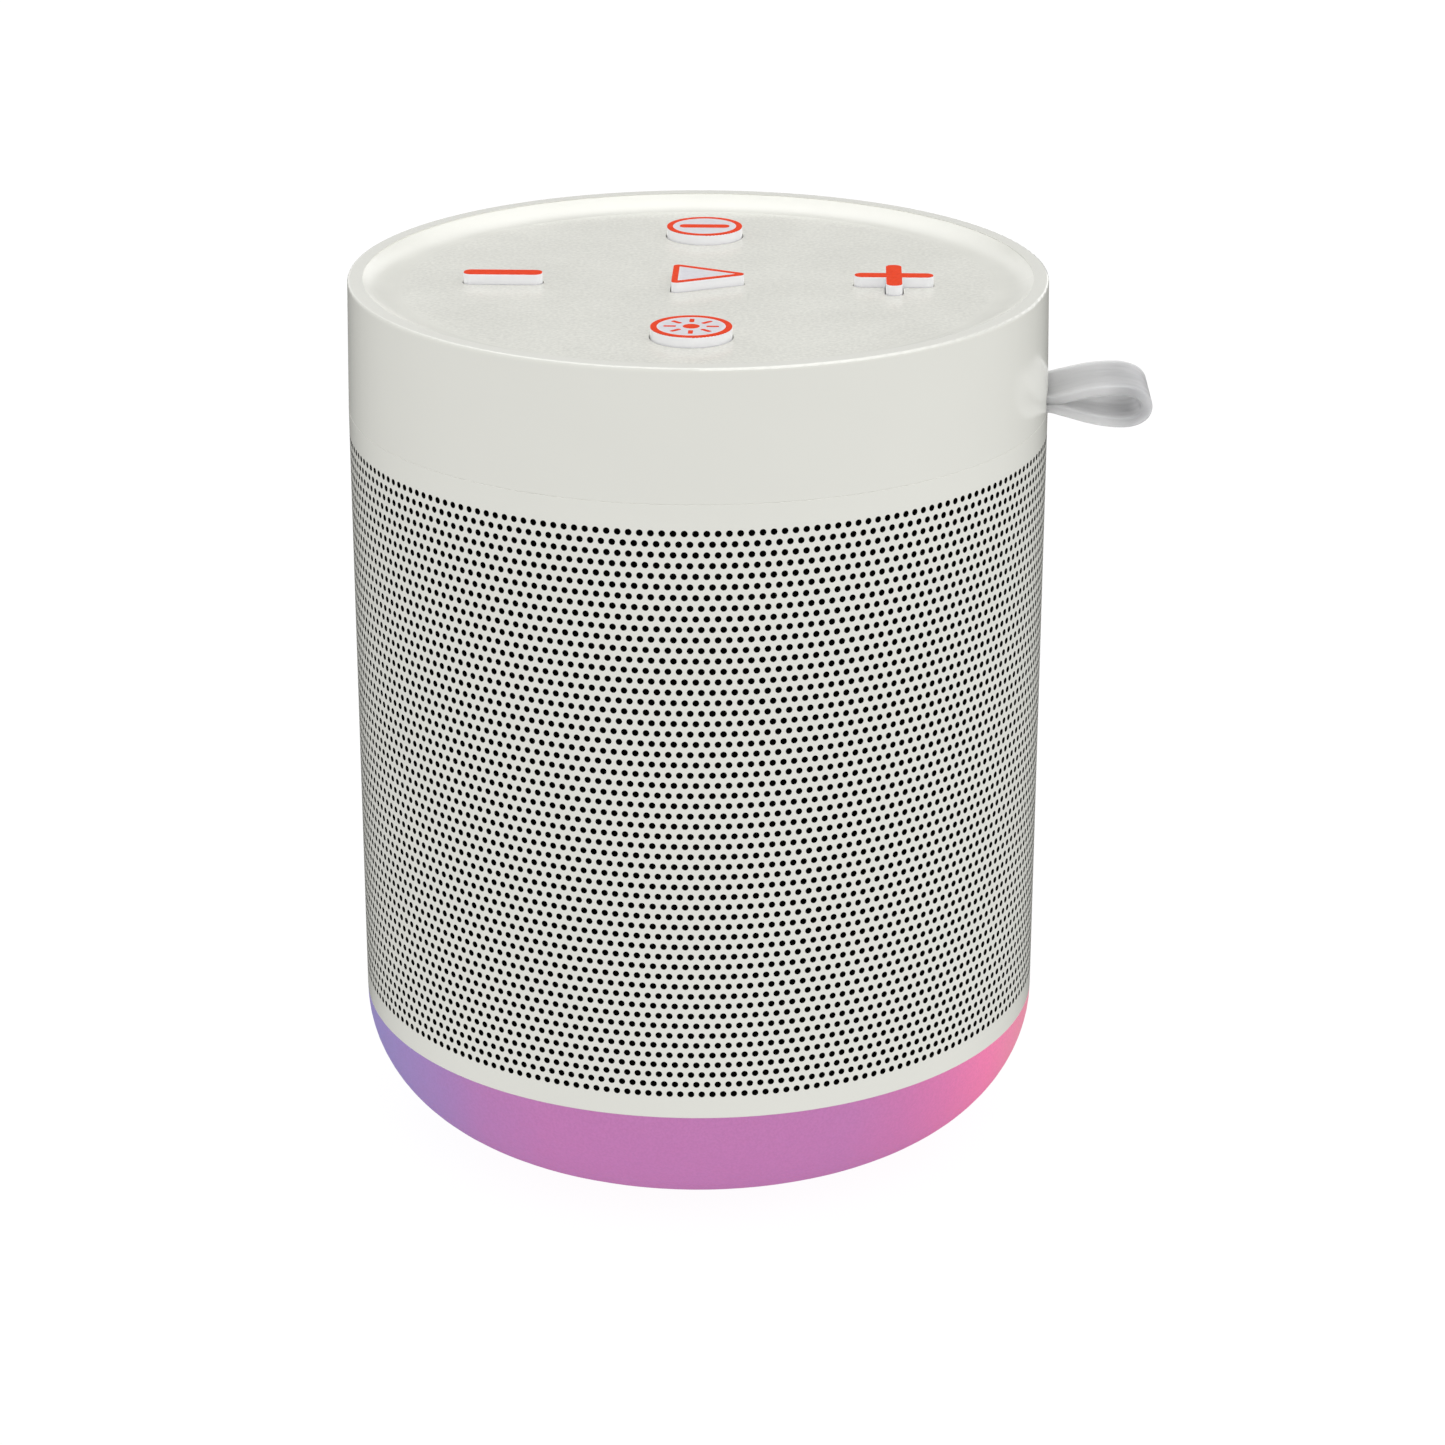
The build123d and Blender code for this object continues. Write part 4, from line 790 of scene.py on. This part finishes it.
def cross(length_x, length_y, width):
    x, y, w = length_x / 2, length_y / 2, width / 2
    right_and_back = [(x, -w), (x, w), (w, w), (w, y), (-w, y), (-w, w)]
    return right_and_back + [(-a, -b) for a, b in right_and_back]


def cap_outline(name, inset):
    low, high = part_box(f"{name}_button")
    length, width = high.x - low.x - 2 * CAP_FLANGE, high.y - low.y - 2 * CAP_FLANGE
    if name in ("power", "light"):
        return circle(length / 2 - inset)
    if name == "minus":
        return rounded(rectangle(length, width), BAR_CORNER_RADIUS, inset)
    if name == "plus":
        return rounded(cross(length, width, PLUS_BAR), BAR_CORNER_RADIUS, inset)
    return rounded(PLAY_CORNERS, PLAY_CORNER_RADIUS, inset)


def cap_place(name):
    """Middle of a cap's top. The pointed play cap is drawn about the body's axis."""
    low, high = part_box(f"{name}_button")
    if name == "play":
        return Vector((0, 0, high.z))
    return Vector(((low.x + high.x) / 2, (low.y + high.y) / 2, high.z))


def ring_at(outline, place, height):
    return [(place.x + x, place.y + y, place.z + height) for x, y in outline]


def add_print(piece_name, shape, material, name):
    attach(piece(piece_name, *shape, material, "white_button"), f"{name}_button")


def print_ring(name):
    """Line round the edge of a cap's top."""
    place = cap_place(name)
    outer, inner = cap_outline(name, RING_INSET), cap_outline(name, RING_WIDTH)
    corners = [(inner, -PRINT_SINK), (inner, PRINT_PROUD), (outer, PRINT_PROUD), (outer, -PRINT_SINK)]
    rings = [list(reversed(ring_at(outline, place, height))) for outline, height in corners]
    add_print(f"{name}_print_ring", loft(rings, closed=True), ORANGE, name)


def print_cap(name):
    """Print over a cap's whole top."""
    outline = cap_outline(name, BAR_INSET)
    add_print(f"{name}_print", plates([outline], cap_place(name), PRINT_PROUD), ORANGE, name)


def plates(outlines, place, height):
    """Thin prisms that stand on a cap's top, joined into one mesh."""
    vertices, faces = [], []
    for outline in outlines:
        start = len(vertices)
        lofted, sides = loft([ring_at(outline, place, -PRINT_SINK), ring_at(outline, place, height)])
        vertices.extend(lofted)
        faces.extend(tuple(v + start for v in face) for face in sides)
    return vertices, faces


def print_face(name):
    """Grey field inside a printed ring."""
    outline = cap_outline(name, RING_WIDTH + FACE_MARGIN)
    add_print(f"{name}_face", plates([outline], cap_place(name), FACE_PROUD), GREY, name)


def print_power_bar():
    bar = rounded(rectangle(POWER_BAR_LENGTH, POWER_BAR_WIDTH), POWER_BAR_ROUND, 0.0)
    add_print("power_print_bar", plates([bar], cap_place("power"), PRINT_PROUD), ORANGE, "power")


def print_sun():
    ray = rounded(rectangle(RAY_OUTER - RAY_INNER, RAY_WIDTH), RAY_ROUND, 0.0)
    middle = (RAY_OUTER + RAY_INNER) / 2
    outlines = [circle(SUN_RADIUS, SUN_STEPS)]
    for k in range(RAYS):
        turn = Matrix.Rotation(2 * pi * k / RAYS, 2)
        outlines.append([tuple(turn @ Vector((x + middle, y))) for x, y in ray])
    sun = plates(outlines, cap_place("light"), PRINT_PROUD)
    add_print("light_print_sun", sun, ORANGE, "light")


def make_prints():
    for name in ("power", "light", "play"):
        print_ring(name)
        print_face(name)
    for name in ("minus", "plus"):
        print_cap(name)
    print_power_bar()
    print_sun()


# Stage


def gloss_brightness(tree, axes):
    """A bright ceiling over darker walls, with a bright strip at either side of the back wall."""
    ceiling = add_step(tree, axes["Z"], GLOSS_START, GLOSS_FULL, GLOSS_LOW, GLOSS_HIGH)
    right = add_step(tree, axes["X"], *GLOSS_RIGHT_STRIP)
    left = add_step(tree, axes["X"], *GLOSS_LEFT_STRIP)
    back_wall = add_step(tree, axes["Y"], *GLOSS_STRIP_DEPTH)
    strips = add_math(tree, "MULTIPLY", add_math(tree, "ADD", right, left), back_wall)
    return add_math(tree, "ADD", ceiling, strips)


def make_world():
    """A white room: even light on matt surfaces, its own pattern in gloss, and plain white behind."""
    world = bpy.data.worlds.new("studio")
    bpy.context.scene.world = world
    world.use_nodes = True
    tree = world.node_tree
    tree.nodes.clear()
    places = add_node(tree, "ShaderNodeTexCoord").outputs["Generated"]
    axes = add_node(tree, "ShaderNodeSeparateXYZ", {0: places}).outputs
    even = add_math(tree, "MULTIPLY_ADD", axes["X"], SIDE_BIAS, 1.0)
    rays = add_node(tree, "ShaderNodeLightPath").outputs
    seen = add_math(tree, "MAXIMUM", even, rays["Is Camera Ray"])
    room = add_node(tree, "ShaderNodeBackground", {"Strength": seen})
    gloss = add_node(tree, "ShaderNodeBackground", {"Strength": gloss_brightness(tree, axes)})
    for background in (room, gloss):
        background.inputs["Color"].default_value = (1, 1, 1, 1)
    mix = {0: rays["Is Glossy Ray"], 1: room.outputs[0], 2: gloss.outputs[0]}
    both = add_node(tree, "ShaderNodeMixShader", mix)
    add_node(tree, "ShaderNodeOutputWorld", {"Surface": both.outputs[0]})


def floor_material():
    """White paper that glows, so that shadows on it stay faint, and shows dark in gloss."""
    material = bpy.data.materials.new("floor")
    material.use_nodes = True
    tree = material.node_tree
    tree.nodes.clear()
    places = add_node(tree, "ShaderNodeTexCoord").outputs["Object"]
    fibres = add_node(tree, "ShaderNodeTexNoise", {"Vector": places, "Scale": FLOOR_FIBRES, "Detail": 4.0})
    tint = add_step(tree, fibres.outputs["Fac"], 0.0, 1.0, *FLOOR_TINT, "LINEAR")
    matt = add_node(tree, "ShaderNodeBsdfDiffuse", {"Color": tint})
    glow = add_node(tree, "ShaderNodeEmission", {"Strength": FLOOR_GLOW})
    paper = add_node(tree, "ShaderNodeAddShader", {0: matt.outputs[0], 1: glow.outputs[0]})
    dim = add_node(tree, "ShaderNodeEmission", {"Strength": FLOOR_GLOSS})
    rays = add_node(tree, "ShaderNodeLightPath").outputs
    mix = {0: rays["Is Glossy Ray"], 1: paper.outputs[0], 2: dim.outputs[0]}
    both = add_node(tree, "ShaderNodeMixShader", mix)
    add_node(tree, "ShaderNodeOutputMaterial", {"Surface": both.outputs[0]})
    return material


def make_floor():
    """Just clear of the foot's underside, so that the two don't share a plane."""
    mesh = bpy.data.meshes.new("floor")
    directions = [(-1, -1), (1, -1), (1, 1), (-1, 1)]
    corners = [(x * FLOOR_SIZE, y * FLOOR_SIZE, FLOOR_Z) for x, y in directions]
    mesh.from_pydata(corners, [], [(0, 1, 2, 3)])
    mesh.materials.append(floor_material())
    floor = bpy.data.objects.new("floor", mesh)
    bpy.context.scene.collection.objects.link(floor)


def make_camera():
    data = bpy.data.cameras.new("camera")
    data.lens = CAMERA_LENS
    data.sensor_width = CAMERA_SENSOR
    camera = bpy.data.objects.new("camera", data)
    bpy.context.scene.collection.objects.link(camera)
    azimuth = radians(CAMERA_AZIMUTH)
    camera.location = (CAMERA_DISTANCE * sin(azimuth), -CAMERA_DISTANCE * cos(azimuth), CAMERA_HEIGHT)
    aim = Euler((radians(90 - CAMERA_PITCH), 0, radians(CAMERA_HEADING))).to_matrix()
    camera.rotation_euler = (aim @ Matrix.Rotation(radians(CAMERA_ROLL), 3, "Z")).to_euler()
    bpy.context.scene.camera = camera


dress_cad()
make_grille()
make_strap()
make_prints()
make_world()
make_floor()
make_camera()
bpy.context.scene.view_settings.view_transform = "Standard"
